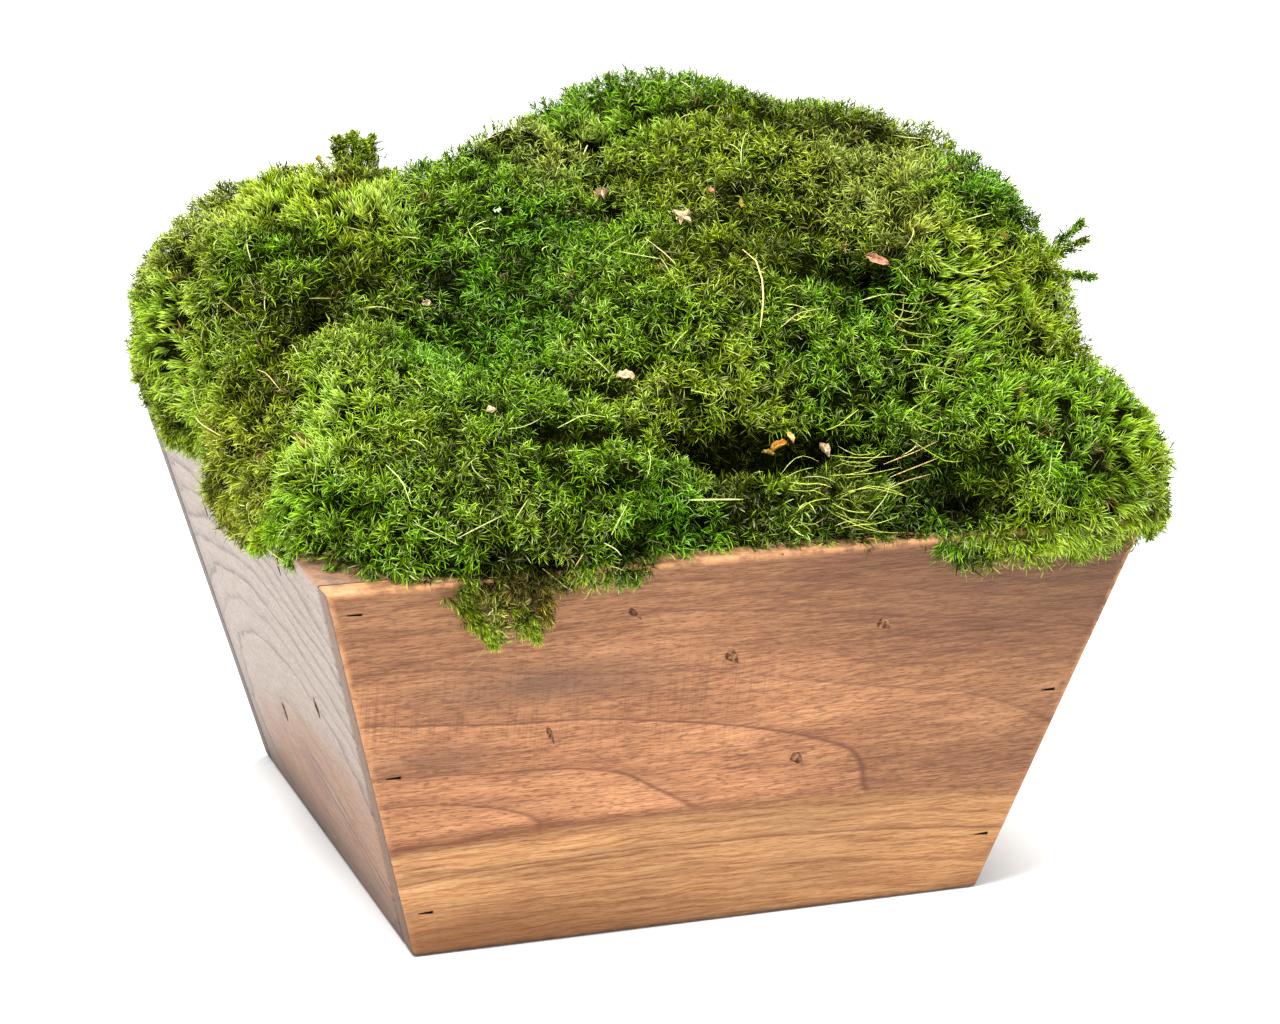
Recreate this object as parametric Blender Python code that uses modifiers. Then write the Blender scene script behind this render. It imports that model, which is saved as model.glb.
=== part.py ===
"""Moss clump: cushions of moss heaped on soil in a square wooden planter that widens upwards.

The origin is the middle of the planter's underside. The front faces -Y and the left side -X.
"""

import math
from typing import NamedTuple

import bmesh
import bpy
import numpy as np
from mathutils import Matrix, Vector, noise

# The planter, measured over its outside
TOP_WIDTH = 0.230
BOTTOM_WIDTH = 0.167
HEIGHT = 0.1154

# Its boards. WALL is the thickness of a sloping board, measured level
WALL = 0.0197
LIP = 0.0090
BASE_THICKNESS = 0.012
ARRIS = 0.0009
GAP = 0.0003

# What lies between the boards, as tapered_block takes it, and how far a cutter runs past a face
INSIDE = ((-1, WALL + GAP), (1, -WALL - GAP))
PAST = 0.01

# Nails through the lips of the front and back boards, at three heights
NAIL_HEIGHTS = {"left": (0.0140, 0.0583, 0.1089), "right": (0.0180, 0.0641, 0.1065)}
NAIL_FROM_EDGE = 0.0062
NAIL_HEAD = (0.0036, 0.0012, 0.0012)
NAIL_SHANK_WIDTH = 0.0016
NAIL_NECK = 0.0004
NAIL_LENGTH = 0.030
NAIL_SUNK = 0.0008

# The soil: it fills the planter to the rim, with a low mound on it
MOUND_RADII = (0.080, 0.080, 0.044)
MOUND_TURNS = 16
MOUND_RINGS = 8

# The moss. A cushion is an ellipsoid that is a little square in plan, as pressed in a box.
# BLEND says how far neighbours run together: less fills the valley between them more
SQUARENESS = 2.5
BLEND = 8.0
REACH = np.linspace(0.5, 1.4, 46)
CUSHION_DETAIL = 4
SEAM_BAND = 0.06
SEAM_POINTS = 12
WELD = 0.00003

# Lumps stand out from the smooth form, broad ones and rounded tufts on them
LUMP_SPACING = 0.036
LUMP_HEIGHT = 0.0042
TUFT_SPACING = 0.0180
TUFT_HEIGHT = 0.0058
TUFT_MIDDLE = 0.48

SHOOT_SIDES = 6
SHOOT_TAPER = 0.25


class Sprig(NamedTuple):
    """Shoots that stand out from a cushion, from one root to their tips."""

    root: tuple
    tips: tuple
    thickness: float


class Cushion(NamedTuple):
    """A cushion of moss, which hangs over the rim by hang."""

    centre: tuple
    radii: tuple
    hang: float
    colour: tuple
    sprigs: tuple = ()


YELLOW_GREEN = (0.170, 0.260, 0.030)
OLIVE = (0.150, 0.190, 0.035)
LEAF_GREEN = (0.085, 0.215, 0.020)
DEEP_GREEN = (0.045, 0.150, 0.015)

# Sprigs: a bushy one on top at the back, twiggy ones over the right rim, a tuft that hangs
# down the front, and a leafy one at the left corner
BUSHY_SPRIG = Sprig(
    root=(-0.0590, 0.0590, 0.1830), thickness=0.0036,
    tips=((-0.0640, 0.0600, 0.1990), (-0.0598, 0.0600, 0.2005), (-0.0540, 0.0620, 0.1945)))
TWIGGY_SPRIG = Sprig(
    root=(0.1120, -0.0440, 0.1720), thickness=0.0034,
    tips=((0.1250, -0.0500, 0.1850), (0.1270, -0.0480, 0.1790), (0.1262, -0.0550, 0.1695)))
HANGING_TUFT = Sprig(
    root=(-0.0655, -0.1175, 0.1150), thickness=0.0058,
    tips=((-0.0722, -0.1185, 0.0990), (-0.0590, -0.1185, 0.0995), (-0.0655, -0.1195, 0.1025)))
CORNER_SPRIG = Sprig(
    root=(-0.1060, -0.0640, 0.1215), thickness=0.0050,
    tips=((-0.1205, -0.0610, 0.1120), (-0.1210, -0.0660, 0.1150), (-0.1190, -0.0750, 0.1200)))

CUSHIONS = {
    "clump_left_back": Cushion(
        (-0.0745, 0.055, 0.1425), (0.0520, 0.059, 0.0478), 0.012, YELLOW_GREEN, (BUSHY_SPRIG,)),
    "clump_left_middle": Cushion(
        (-0.080, -0.018, 0.127), (0.044, 0.044, 0.034), 0.013, OLIVE),
    "clump_shoulder": Cushion(
        (-0.021, 0.046, 0.138), (0.049, 0.062, 0.0555), 0.0, DEEP_GREEN),
    "clump_back": Cushion(
        (0.033, 0.072, 0.154), (0.050, 0.044, 0.0568), 0.008, DEEP_GREEN),
    "clump_crown": Cushion(
        (0.048, 0.024, 0.149), (0.047, 0.054, 0.0635), 0.0, OLIVE),
    "clump_right_back": Cushion(
        (0.083, 0.044, 0.145), (0.0470, 0.063, 0.0565), 0.010, LEAF_GREEN),
    "clump_right": Cushion(
        (0.090, -0.031, 0.147), (0.0360, 0.048, 0.0545), 0.009, YELLOW_GREEN, (TWIGGY_SPRIG,)),
    "clump_right_front": Cushion(
        (0.087, -0.073, 0.121), (0.0475, 0.0505, 0.0340), 0.009, YELLOW_GREEN),
    "clump_middle": Cushion(
        (0.014, -0.028, 0.130), (0.064, 0.054, 0.054), 0.0, LEAF_GREEN),
    "clump_front_left": Cushion(
        (-0.056, -0.062, 0.119), (0.060, 0.0570, 0.0365), 0.0045, LEAF_GREEN,
        (HANGING_TUFT, CORNER_SPRIG)),
    "clump_front_middle": Cushion(
        (0.025, -0.084, 0.115), (0.048, 0.029, 0.019), 0.0, DEEP_GREEN),
}


def half_width(z):
    """Half of the planter's outer width at a height."""
    return BOTTOM_WIDTH / 2 + (TOP_WIDTH - BOTTOM_WIDTH) / 2 * z / HEIGHT


def clear_scene():
    for obj in list(bpy.data.objects):
        bpy.data.objects.remove(obj, do_unlink=True)


def make_collection(name):
    collection = bpy.data.collections.new(name)
    bpy.context.scene.collection.children.link(collection)
    return collection


def make_material(name, colour, roughness, metallic=0.0):
    material = bpy.data.materials.new(name)
    material.use_nodes = True
    shader = material.node_tree.nodes["Principled BSDF"]
    shader.inputs["Base Color"].default_value = (*colour, 1.0)
    shader.inputs["Roughness"].default_value = roughness
    shader.inputs["Metallic"].default_value = metallic
    material.diffuse_color = (*colour, 1.0)
    return material


def make_object(name, shape, collection, material=None):
    """Turn a bmesh into an object, and free the bmesh."""
    mesh = bpy.data.meshes.new(name)
    shape.to_mesh(mesh)
    shape.free()
    obj = bpy.data.objects.new(name, mesh)
    collection.objects.link(obj)
    if material:
        mesh.materials.append(material)
    else:
        obj.hide_render = True
        obj.display_type = "WIRE"
    return obj


def tapered_block(x_sides, y_sides, z_sides):
    """A block that follows the planter's taper.

    A side in x or y is a pair: how many half widths from the middle, and an offset. In z it is a height.
    """
    shape = bmesh.new()
    bmesh.ops.create_cube(shape, size=1)
    for vertex in shape.verts:
        z = z_sides[vertex.co.z > 0]
        x_part, x_offset = x_sides[vertex.co.x > 0]
        y_part, y_offset = y_sides[vertex.co.y > 0]
        half = half_width(z)
        vertex.co = (x_part * half + x_offset, y_part * half + y_offset, z)
    return shape


def add_boolean(obj, cutter, operation="DIFFERENCE"):
    modifier = obj.modifiers.new(operation.title() + " " + cutter.name, "BOOLEAN")
    modifier.object = cutter
    modifier.operation = operation
    modifier.solver = "EXACT"


def add_arris(obj):
    """Ease the long edges of a board."""
    modifier = obj.modifiers.new("Arris", "BEVEL")
    modifier.width = ARRIS
    modifier.segments = 2
    modifier.limit_method = "ANGLE"
    modifier.angle_limit = math.radians(40)


def nail_shape(x, z, facing, clearance=0.0, head_only_to=0.0):
    """A flat-headed nail driven level into the board that faces along facing, which is -1 or 1 in Y."""
    head_width, head_thickness, head_height = NAIL_HEAD
    surface = half_width(z)
    head_start = surface - NAIL_SUNK + head_only_to
    head_end = surface - NAIL_SUNK - head_thickness - clearance
    shape = bmesh.new()
    bmesh.ops.create_cube(shape, size=1)
    inner_face = next(face for face in shape.faces if face.normal.y * facing < -0.5)
    for vertex in shape.verts:
        outer = vertex.co.y * facing > 0
        across = math.copysign(head_width / 2 + clearance, vertex.co.x)
        up = math.copysign(head_height / 2 + clearance, vertex.co.z)
        vertex.co = (x + across, facing * (head_start if outer else head_end), z + up)
    shank = bmesh.ops.extrude_discrete_faces(shape, faces=[inner_face])["faces"][0]
    for vertex in shank.verts:
        across = math.copysign(NAIL_SHANK_WIDTH / 2 + clearance, vertex.co.x - x)
        vertex.co.x = x + across
        vertex.co.y -= facing * NAIL_NECK
    run = bmesh.ops.extrude_discrete_faces(shape, faces=[shank])["faces"][0]
    for vertex in run.verts:
        vertex.co.y = facing * (surface - NAIL_LENGTH - clearance)
    bmesh.ops.recalc_face_normals(shape, faces=shape.faces)
    return shape


def make_nails(parts, cutters, steel):
    """Three nails at each corner, and the slots that they sit in."""
    slots = {}
    for board, facing in (("front", -1), ("back", 1)):
        for side, hand in (("left", -1), ("right", 1)):
            for number, z in enumerate(NAIL_HEIGHTS[side], start=1):
                x = hand * (half_width(z) - NAIL_FROM_EDGE)
                name = f"brad_{board}_{side}_{number}"
                make_object(name, nail_shape(x, z, facing), parts, steel)
                slot = nail_shape(x, z, facing, clearance=GAP, head_only_to=NAIL_SUNK * 3)
                slots[board, side, number] = make_object("slot_" + name, slot, cutters)
    return slots


def make_planter(parts, cutters, wood, pale_wood, slots):
    """Four splayed boards and the bottom board between them."""
    level = (0.0, HEIGHT)
    beyond = (-PAST, HEIGHT + PAST)
    for board, facing in (("front", -1), ("back", 1)):
        y_sides = sorted([(facing, 0.0), (facing, -facing * WALL)], key=sum)
        shape = tapered_block(((-1, 0.0), (1, 0.0)), y_sides, level)
        obj = make_object("board_" + board, shape, parts, wood)
        for side, hand in (("left", -1), ("right", 1)):
            x_cut = sorted([(hand, hand * PAST), (hand, -hand * (WALL + GAP))], key=sum)
            y_cut = sorted([(facing, -facing * LIP), (facing, -facing * (WALL + PAST))], key=sum)
            rebate = tapered_block(x_cut, y_cut, beyond)
            add_boolean(obj, make_object(f"rebate_{board}_{side}", rebate, cutters))
        add_arris(obj)
        for (slot_board, _, _), slot in slots.items():
            if slot_board == board:
                add_boolean(obj, slot)
    ends = ((-1, LIP + GAP), (1, -LIP - GAP))
    for side, hand in (("left", -1), ("right", 1)):
        x_sides = sorted([(hand, 0.0), (hand, -hand * WALL)], key=sum)
        obj = make_object("board_" + side, tapered_block(x_sides, ends, level), parts, pale_wood)
        add_arris(obj)
        for (_, slot_side, _), slot in slots.items():
            if slot_side == side:
                add_boolean(obj, slot)
    base = tapered_block(INSIDE, INSIDE, (0.0, BASE_THICKNESS))
    make_object("board_base", base, parts, wood)


def mound_shape(extra=0.0):
    shape = bmesh.new()
    bmesh.ops.create_uvsphere(shape, u_segments=MOUND_TURNS, v_segments=MOUND_RINGS, radius=1.0)
    for vertex in shape.verts:
        for axis in range(3):
            vertex.co[axis] *= MOUND_RADII[axis] + extra
        vertex.co.z += HEIGHT
    return shape


def make_soil(parts, cutters, material):
    fill = tapered_block(INSIDE, INSIDE, (BASE_THICKNESS + GAP, HEIGHT))
    soil = make_object("soil", fill, parts, material)
    add_boolean(soil, make_object("mound", mound_shape(), cutters), "UNION")


def cushion_level(cushion, points):
    """1 on a cushion's smooth form, less inside it."""
    x, y, z = np.moveaxis(abs((points - np.array(cushion.centre)) / cushion.radii), -1, 0)
    plan = (x ** SQUARENESS + y ** SQUARENESS) ** (1 / SQUARENESS)
    return np.hypot(plan, z)


def heap_level(points):
    """1 on the heap's smooth form, where the cushions run together, and less inside it."""
    levels = np.stack([cushion_level(cushion, points) for cushion in CUSHIONS.values()])
    return (levels ** -BLEND).sum(axis=0) ** (-1 / BLEND)


def cushion_points(cushion, turns=160, rows=80):
    """Points spread over a cushion's smooth form."""
    around = np.linspace(0, 2 * math.pi, turns, endpoint=False)
    down = np.linspace(0, math.pi, rows)
    around, down = np.meshgrid(around, down)
    directions = np.stack([np.sin(down) * np.cos(around), np.sin(down) * np.sin(around), np.cos(down)], -1)
    spokes = directions.reshape(-1, 3) * cushion.radii
    return cushion.centre + spokes / cushion_level(cushion, cushion.centre + spokes)[:, None]


def seam_plane(one, other):
    """The plane through the seam where two cushions meet, as a point and a direction to the other.

    None where they don't meet.
    """
    near = []
    for here, there in ((one, other), (other, one)):
        points = cushion_points(here)
        near.append(points[abs(cushion_level(there, points) - 1) < SEAM_BAND])
    near = np.concatenate(near)
    if len(near) == 0:
        return None
    shown = near[near[:, 2] > HEIGHT]
    if len(shown) >= SEAM_POINTS:
        near = shown
    middle = near.mean(axis=0)
    normal = np.linalg.svd(near - middle, full_matrices=False)[2][2]
    if normal @ (np.array(other.centre) - one.centre) < 0:
        normal = -normal
    return Vector(middle), Vector(normal)


def lump(point):
    """How far the moss stands out at a point: broad lumps, and rounded tufts on them."""
    broad = noise.noise(point / LUMP_SPACING)
    to_tuft = noise.voronoi(point / TUFT_SPACING)[0][0]
    return LUMP_HEIGHT * broad + TUFT_HEIGHT * (TUFT_MIDDLE - to_tuft)


def cushion_shape(cushion):
    """A ball pushed out from the cushion's centre to the heap's form, with lumps on it."""
    shape = bmesh.new()
    bmesh.ops.create_icosphere(shape, subdivisions=CUSHION_DETAIL, radius=1.0)
    directions = np.array([vertex.co for vertex in shape.verts])
    spokes = REACH[:, None, None] * directions * cushion.radii + cushion.centre
    outside = heap_level(spokes) >= 1
    outside[-1] = True
    reach = REACH[outside.argmax(axis=0)]
    for vertex, length in zip(shape.verts, reach):
        out = Vector(vertex.co[axis] / cushion.radii[axis] for axis in range(3)).normalized()
        spoke = Vector(vertex.co[axis] * cushion.radii[axis] for axis in range(3))
        place = Vector(cushion.centre) + spoke * length
        vertex.co = place + out * lump(place)
    return shape


def shoot_shape(root, tip, thickness):
    """One leafy shoot as a tapered spike."""
    root = Vector(root)
    along = Vector(tip) - root
    shape = bmesh.new()
    bmesh.ops.create_cone(
        shape, cap_ends=True, segments=SHOOT_SIDES, radius1=thickness,
        radius2=thickness * SHOOT_TAPER, depth=along.length)
    turn = along.to_track_quat("Z", "Y").to_matrix().to_4x4()
    bmesh.ops.transform(shape, matrix=Matrix.Translation(root + along / 2) @ turn, verts=shape.verts)
    return shape


def cut_off(shape, point, normal):
    """Take away what lies past a plane, and close the cut."""
    geometry = shape.verts[:] + shape.edges[:] + shape.faces[:]
    cut = bmesh.ops.bisect_plane(
        shape, geom=geometry, dist=WELD, plane_co=point, plane_no=normal, clear_outer=True)
    rim = [item for item in cut["geom_cut"] if isinstance(item, bmesh.types.BMEdge)]
    if rim:
        bmesh.ops.triangle_fill(shape, edges=rim, use_beauty=True, normal=normal)


def keep_largest(shape):
    """Drop crumbs that a cut has parted from the body."""
    left = set(shape.verts)
    bodies = []
    while left:
        body = {left.pop()}
        edge_of_search = list(body)
        while edge_of_search:
            vertex = edge_of_search.pop()
            for edge in vertex.link_edges:
                other = edge.other_vert(vertex)
                if other in left:
                    left.remove(other)
                    body.add(other)
                    edge_of_search.append(other)
        bodies.append(body)
    bodies.sort(key=len)
    crumbs = [vertex for body in bodies[:-1] for vertex in body]
    bmesh.ops.delete(shape, geom=crumbs, context="VERTS")


def settle(obj):
    """Make an object's modifiers its mesh: triangles, one body, no slivers."""
    bpy.context.view_layer.update()
    graph = bpy.context.evaluated_depsgraph_get()
    evaluated = bpy.data.meshes.new_from_object(obj.evaluated_get(graph))
    shape = bmesh.new()
    shape.from_mesh(evaluated)
    bpy.data.meshes.remove(evaluated)
    bmesh.ops.remove_doubles(shape, verts=shape.verts, dist=WELD)
    bmesh.ops.dissolve_degenerate(shape, edges=shape.edges, dist=WELD)
    keep_largest(shape)
    bmesh.ops.triangulate(shape, faces=shape.faces)
    bmesh.ops.recalc_face_normals(shape, faces=shape.faces)
    obj.modifiers.clear()
    shape.to_mesh(obj.data)
    shape.free()


def make_moss(parts, cutters):
    around = ((-1, -GAP), (1, GAP))
    bed = make_object("bed", tapered_block(around, around, (-PAST, HEIGHT + GAP)), cutters)
    add_boolean(bed, make_object("bed_mound", mound_shape(GAP), cutters), "UNION")
    for name, cushion in CUSHIONS.items():
        shape = cushion_shape(cushion)
        cuts = [(Vector((0, 0, HEIGHT - cushion.hang)), Vector((0, 0, -1)))]
        for other_name, other in CUSHIONS.items():
            seam = None if other_name == name else seam_plane(cushion, other)
            if seam:
                point, normal = seam
                cuts.append((point - normal * GAP / 2, normal))
        for point, normal in cuts:
            cut_off(shape, point, normal)
        material = make_material(name, cushion.colour, roughness=0.9)
        obj = make_object(name, shape, parts, material)
        shoots = [(sprig.root, tip, sprig.thickness) for sprig in cushion.sprigs for tip in sprig.tips]
        for number, shoot in enumerate(shoots, start=1):
            spike = make_object(f"shoot_{name}_{number}", shoot_shape(*shoot), cutters)
            add_boolean(obj, spike, "UNION")
        add_boolean(obj, bed)
        settle(obj)
        obj.data.shade_smooth()
        obj.data.set_sharp_from_angle(angle=math.radians(60))


def main():
    clear_scene()
    parts = make_collection("moss_clump")
    cutters = make_collection("cutters")
    wood = make_material("brown_wood", (0.300, 0.120, 0.055), roughness=0.6)
    pale_wood = make_material("worn_wood", (0.330, 0.220, 0.170), roughness=0.6)
    steel = make_material("dark_steel", (0.020, 0.018, 0.017), roughness=0.5, metallic=0.8)
    earth = make_material("soil", (0.030, 0.017, 0.010), roughness=0.95)
    slots = make_nails(parts, cutters, steel)
    make_planter(parts, cutters, wood, pale_wood, slots)
    make_soil(parts, cutters, earth)
    make_moss(parts, cutters)


main()
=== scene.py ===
"""Looks for a moss clump in a square wooden planter: leafy moss, grained boards, soil, nails and dry bits.

The frame's origin is the middle of the planter's underside. The front faces -Y and the left side -X.
"""

import math
from typing import NamedTuple

import bmesh
import bpy
import numpy as np
from mathutils import Matrix, Vector, noise
from mathutils.bvhtree import BVHTree


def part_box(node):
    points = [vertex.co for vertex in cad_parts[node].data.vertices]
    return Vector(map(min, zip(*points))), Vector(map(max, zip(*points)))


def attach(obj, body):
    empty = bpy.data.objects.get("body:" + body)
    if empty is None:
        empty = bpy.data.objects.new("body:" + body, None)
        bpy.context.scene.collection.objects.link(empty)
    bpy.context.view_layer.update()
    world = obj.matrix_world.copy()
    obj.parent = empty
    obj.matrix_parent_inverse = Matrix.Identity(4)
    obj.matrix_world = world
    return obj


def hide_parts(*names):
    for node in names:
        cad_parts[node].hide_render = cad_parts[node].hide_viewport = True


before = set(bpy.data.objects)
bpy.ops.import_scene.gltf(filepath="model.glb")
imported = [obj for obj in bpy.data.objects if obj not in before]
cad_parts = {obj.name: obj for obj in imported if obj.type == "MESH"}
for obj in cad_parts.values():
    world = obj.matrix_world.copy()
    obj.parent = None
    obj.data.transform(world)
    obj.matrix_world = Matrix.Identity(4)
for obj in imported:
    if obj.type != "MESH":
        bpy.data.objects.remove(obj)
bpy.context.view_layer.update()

SEED = 5
MM = 0.001
MM_PER_METRE = 1000

# The planter's outside, read from its front board
_, BOARD_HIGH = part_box("board_front")
TOP_HALF = BOARD_HIGH.x
RIM = BOARD_HIGH.z
SLOPE = 0.273

# The camera stands where the photograph was taken from. Angles are in radians
PHOTO_SIZE = (1280, 1024)
FOCAL_PIXELS = 3628.0
SENSOR_WIDTH = 36.0
CAMERA_PLACE = Vector((-0.33325, -0.96050, 0.39397))
YAW = 0.3430
PITCH = 0.2857
ROLL = 0.0136

# Light, in Blender's units, and the floor
WORLD_LIGHT = 1.12
KEY_PLACE = (-0.5, -0.6, 2.0)
KEY_POWER = 84.0
BACK_PLACE = (0.3, 1.1, 1.7)
BACK_POWER = 42.0
LIGHT_AIM = Vector((0.0, 0.0, 0.10))
FLOOR_SIZE = 6.0
FLOOR_DROP = 0.0002
FLOOR_COLOUR = (0.90, 0.90, 0.895, 1.0)

# Colours are linear. The leaf colours are those of tips in full light
LEAF_COLOURS = {
    "yellow_green": (0.580, 0.860, 0.012),
    "lime": (0.620, 0.980, 0.035),
    "pale_lime": (0.900, 1.150, 0.130),
    "bright": (1.000, 1.720, 0.030),
    "straw_green": (0.680, 0.800, 0.036),
    # Painted light: brighter than any leaf, it lifts leaves that lie in shade
    "painted_glow": (1.600, 2.000, 0.220),
    "olive": (0.430, 0.610, 0.014),
    "leaf": (0.370, 0.760, 0.010),
    "deep": (0.290, 0.770, 0.014),
    "dark": (0.140, 0.340, 0.008),
    "dull": (0.225, 0.340, 0.010),
    "yellow": (0.780, 0.860, 0.070),
    "brown": (0.240, 0.140, 0.050),
    "rust": (0.330, 0.250, 0.030),
    "thread": (0.680, 0.740, 0.240),
    "wisp": (0.560, 0.640, 0.100),
    "straw": (0.820, 0.620, 0.230),
    "beige": (0.780, 0.600, 0.380),
    "bark": (0.480, 0.240, 0.140),
    "orange": (0.660, 0.330, 0.060),
    "pale_leaf": (0.560, 0.780, 0.400),
}


def linear_noise(points, scale, shift):
    """Smooth noise from about -1 to 1 at each point."""
    offset = Vector((shift, shift * 0.7, -shift))
    return np.array([noise.noise(Vector(point) / scale + offset) for point in points])


def unit(vectors):
    return vectors / np.maximum(np.linalg.norm(vectors, axis=-1, keepdims=True), 1e-9)


def add_object(name, data):
    made = bpy.data.objects.new(name, data)
    bpy.context.scene.collection.objects.link(made)
    return made


def add_tints(mesh, tints):
    """Give each corner of a mesh the colour that the materials read."""
    layer = mesh.attributes.new("tint", "FLOAT_COLOR", "POINT")
    colour = np.concatenate([tints, np.ones((len(tints), 1))], axis=1)
    layer.data.foreach_set("color", colour.astype(np.float32).ravel())


# Camera, floor and light

def camera_axes():
    """The camera's right, up and forward directions."""
    forward = Vector((math.sin(YAW) * math.cos(PITCH), math.cos(YAW) * math.cos(PITCH), -math.sin(PITCH)))
    level = Vector((math.cos(YAW), -math.sin(YAW), 0.0))
    upright = level.cross(forward)
    right = math.cos(ROLL) * level + math.sin(ROLL) * upright
    up = -math.sin(ROLL) * level + math.cos(ROLL) * upright
    return right, up, forward


def photo_ray(pixel):
    """The direction from the camera through a pixel of the photograph."""
    right, up, forward = camera_axes()
    across = (pixel[0] - PHOTO_SIZE[0] / 2) / FOCAL_PIXELS
    upwards = (PHOTO_SIZE[1] / 2 - pixel[1]) / FOCAL_PIXELS
    return (forward + right * across + up * upwards).normalized()


def make_camera():
    data = bpy.data.cameras.new("camera")
    data.sensor_width = SENSOR_WIDTH
    data.lens = FOCAL_PIXELS / PHOTO_SIZE[0] * SENSOR_WIDTH
    data.clip_start = 0.01
    camera = add_object("camera", data)
    right, up, forward = camera_axes()
    turn = Matrix((right, up, -forward)).transposed().to_4x4()
    camera.matrix_world = Matrix.Translation(CAMERA_PLACE) @ turn
    bpy.context.scene.camera = camera


def make_area_light(name, place, size, power):
    data = bpy.data.lights.new(name, "AREA")
    data.shape = "DISK"
    data.size = size
    data.energy = power
    light = add_object(name, data)
    light.location = place
    light.rotation_euler = (LIGHT_AIM - Vector(place)).to_track_quat("-Z", "Y").to_euler()


def make_studio():
    scene = bpy.context.scene
    scene.view_settings.view_transform = "Standard"
    world = bpy.data.worlds.new("studio")
    world.use_nodes = True
    background = world.node_tree.nodes["Background"]
    background.inputs["Color"].default_value = (1.0, 1.0, 1.0, 1.0)
    background.inputs["Strength"].default_value = WORLD_LIGHT
    scene.world = world
    make_area_light("key", KEY_PLACE, 0.9, KEY_POWER)
    make_area_light("back", BACK_PLACE, 0.6, BACK_POWER)

    shape = bmesh.new()
    bmesh.ops.create_grid(shape, x_segments=1, y_segments=1, size=FLOOR_SIZE)
    mesh = bpy.data.meshes.new("floor")
    shape.to_mesh(mesh)
    shape.free()
    floor = add_object("floor", mesh)
    floor.location.z = -FLOOR_DROP
    material = bpy.data.materials.new("floor")
    material.use_nodes = True
    shader = material.node_tree.nodes["Principled BSDF"]
    shader.inputs["Base Color"].default_value = FLOOR_COLOUR
    shader.inputs["Roughness"].default_value = 0.9
    mesh.materials.append(material)


# Materials

class Field:
    """A value or colour that varies over a surface: a node's output, with arithmetic that adds nodes."""

    def __init__(self, nodes, socket):
        self.nodes = nodes
        self.socket = socket

    def __add__(self, other):
        return self.nodes.math("ADD", self, other)

    def __sub__(self, other):
        return self.nodes.math("SUBTRACT", self, other)

    def __rsub__(self, other):
        return self.nodes.math("SUBTRACT", other, self)

    def __mul__(self, other):
        return self.nodes.math("MULTIPLY", self, other)

    def __truediv__(self, other):
        return self.nodes.math("DIVIDE", self, other)

    def __abs__(self):
        return self.nodes.math("ABSOLUTE", self)

    def root(self):
        return self.nodes.math("SQRT", self)

    def maximum(self, other):
        return self.nodes.math("MAXIMUM", self, other)

    def minimum(self, other):
        return self.nodes.math("MINIMUM", self, other)

    def range(self, from_low, from_high, to_low=0.0, to_high=1.0):
        """The value carried from one range to another, and kept inside it."""
        node = self.nodes.add("ShaderNodeMapRange", clamp=True)
        for socket, value in zip(node.inputs, (self, from_low, from_high, to_low, to_high)):
            self.nodes.put(socket, value)
        return Field(self.nodes, node.outputs[0])

    def spread(self, reach=0.13):
        """A noise stretched from its usual values to 0 to 1."""
        return self.range(0.5 - reach, 0.5 + reach)

    def swing(self, size):
        """A value of 0 to 1 turned to one from -size to size."""
        return self.range(0.0, 1.0, -size, size)

    def near_zero(self, reach):
        """1 where the value is 0, fading to 0 at a distance."""
        return abs(self).range(0.0, reach, 1.0, 0.0)

    def ramp(self, stops):
        """The number or colour for each value, from stops of a value and what it gives."""
        node = self.nodes.add("ShaderNodeValToRGB")
        elements = node.color_ramp.elements
        while len(elements) < len(stops):
            elements.new(0.5)
        for element, (position, colour) in zip(elements, stops):
            element.position = position
            element.color = (*colour, 1.0) if isinstance(colour, tuple) else (colour, colour, colour, 1.0)
        self.nodes.put(node.inputs[0], self)
        return Field(self.nodes, node.outputs[0])

    def toward(self, other, share):
        """The colour, mixed with a share of another."""
        return self.nodes.mix(share, self, other)

    def tinted(self, tint):
        """The colour times another."""
        return self.nodes.mix(1.0, self, tint, "MULTIPLY")


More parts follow.
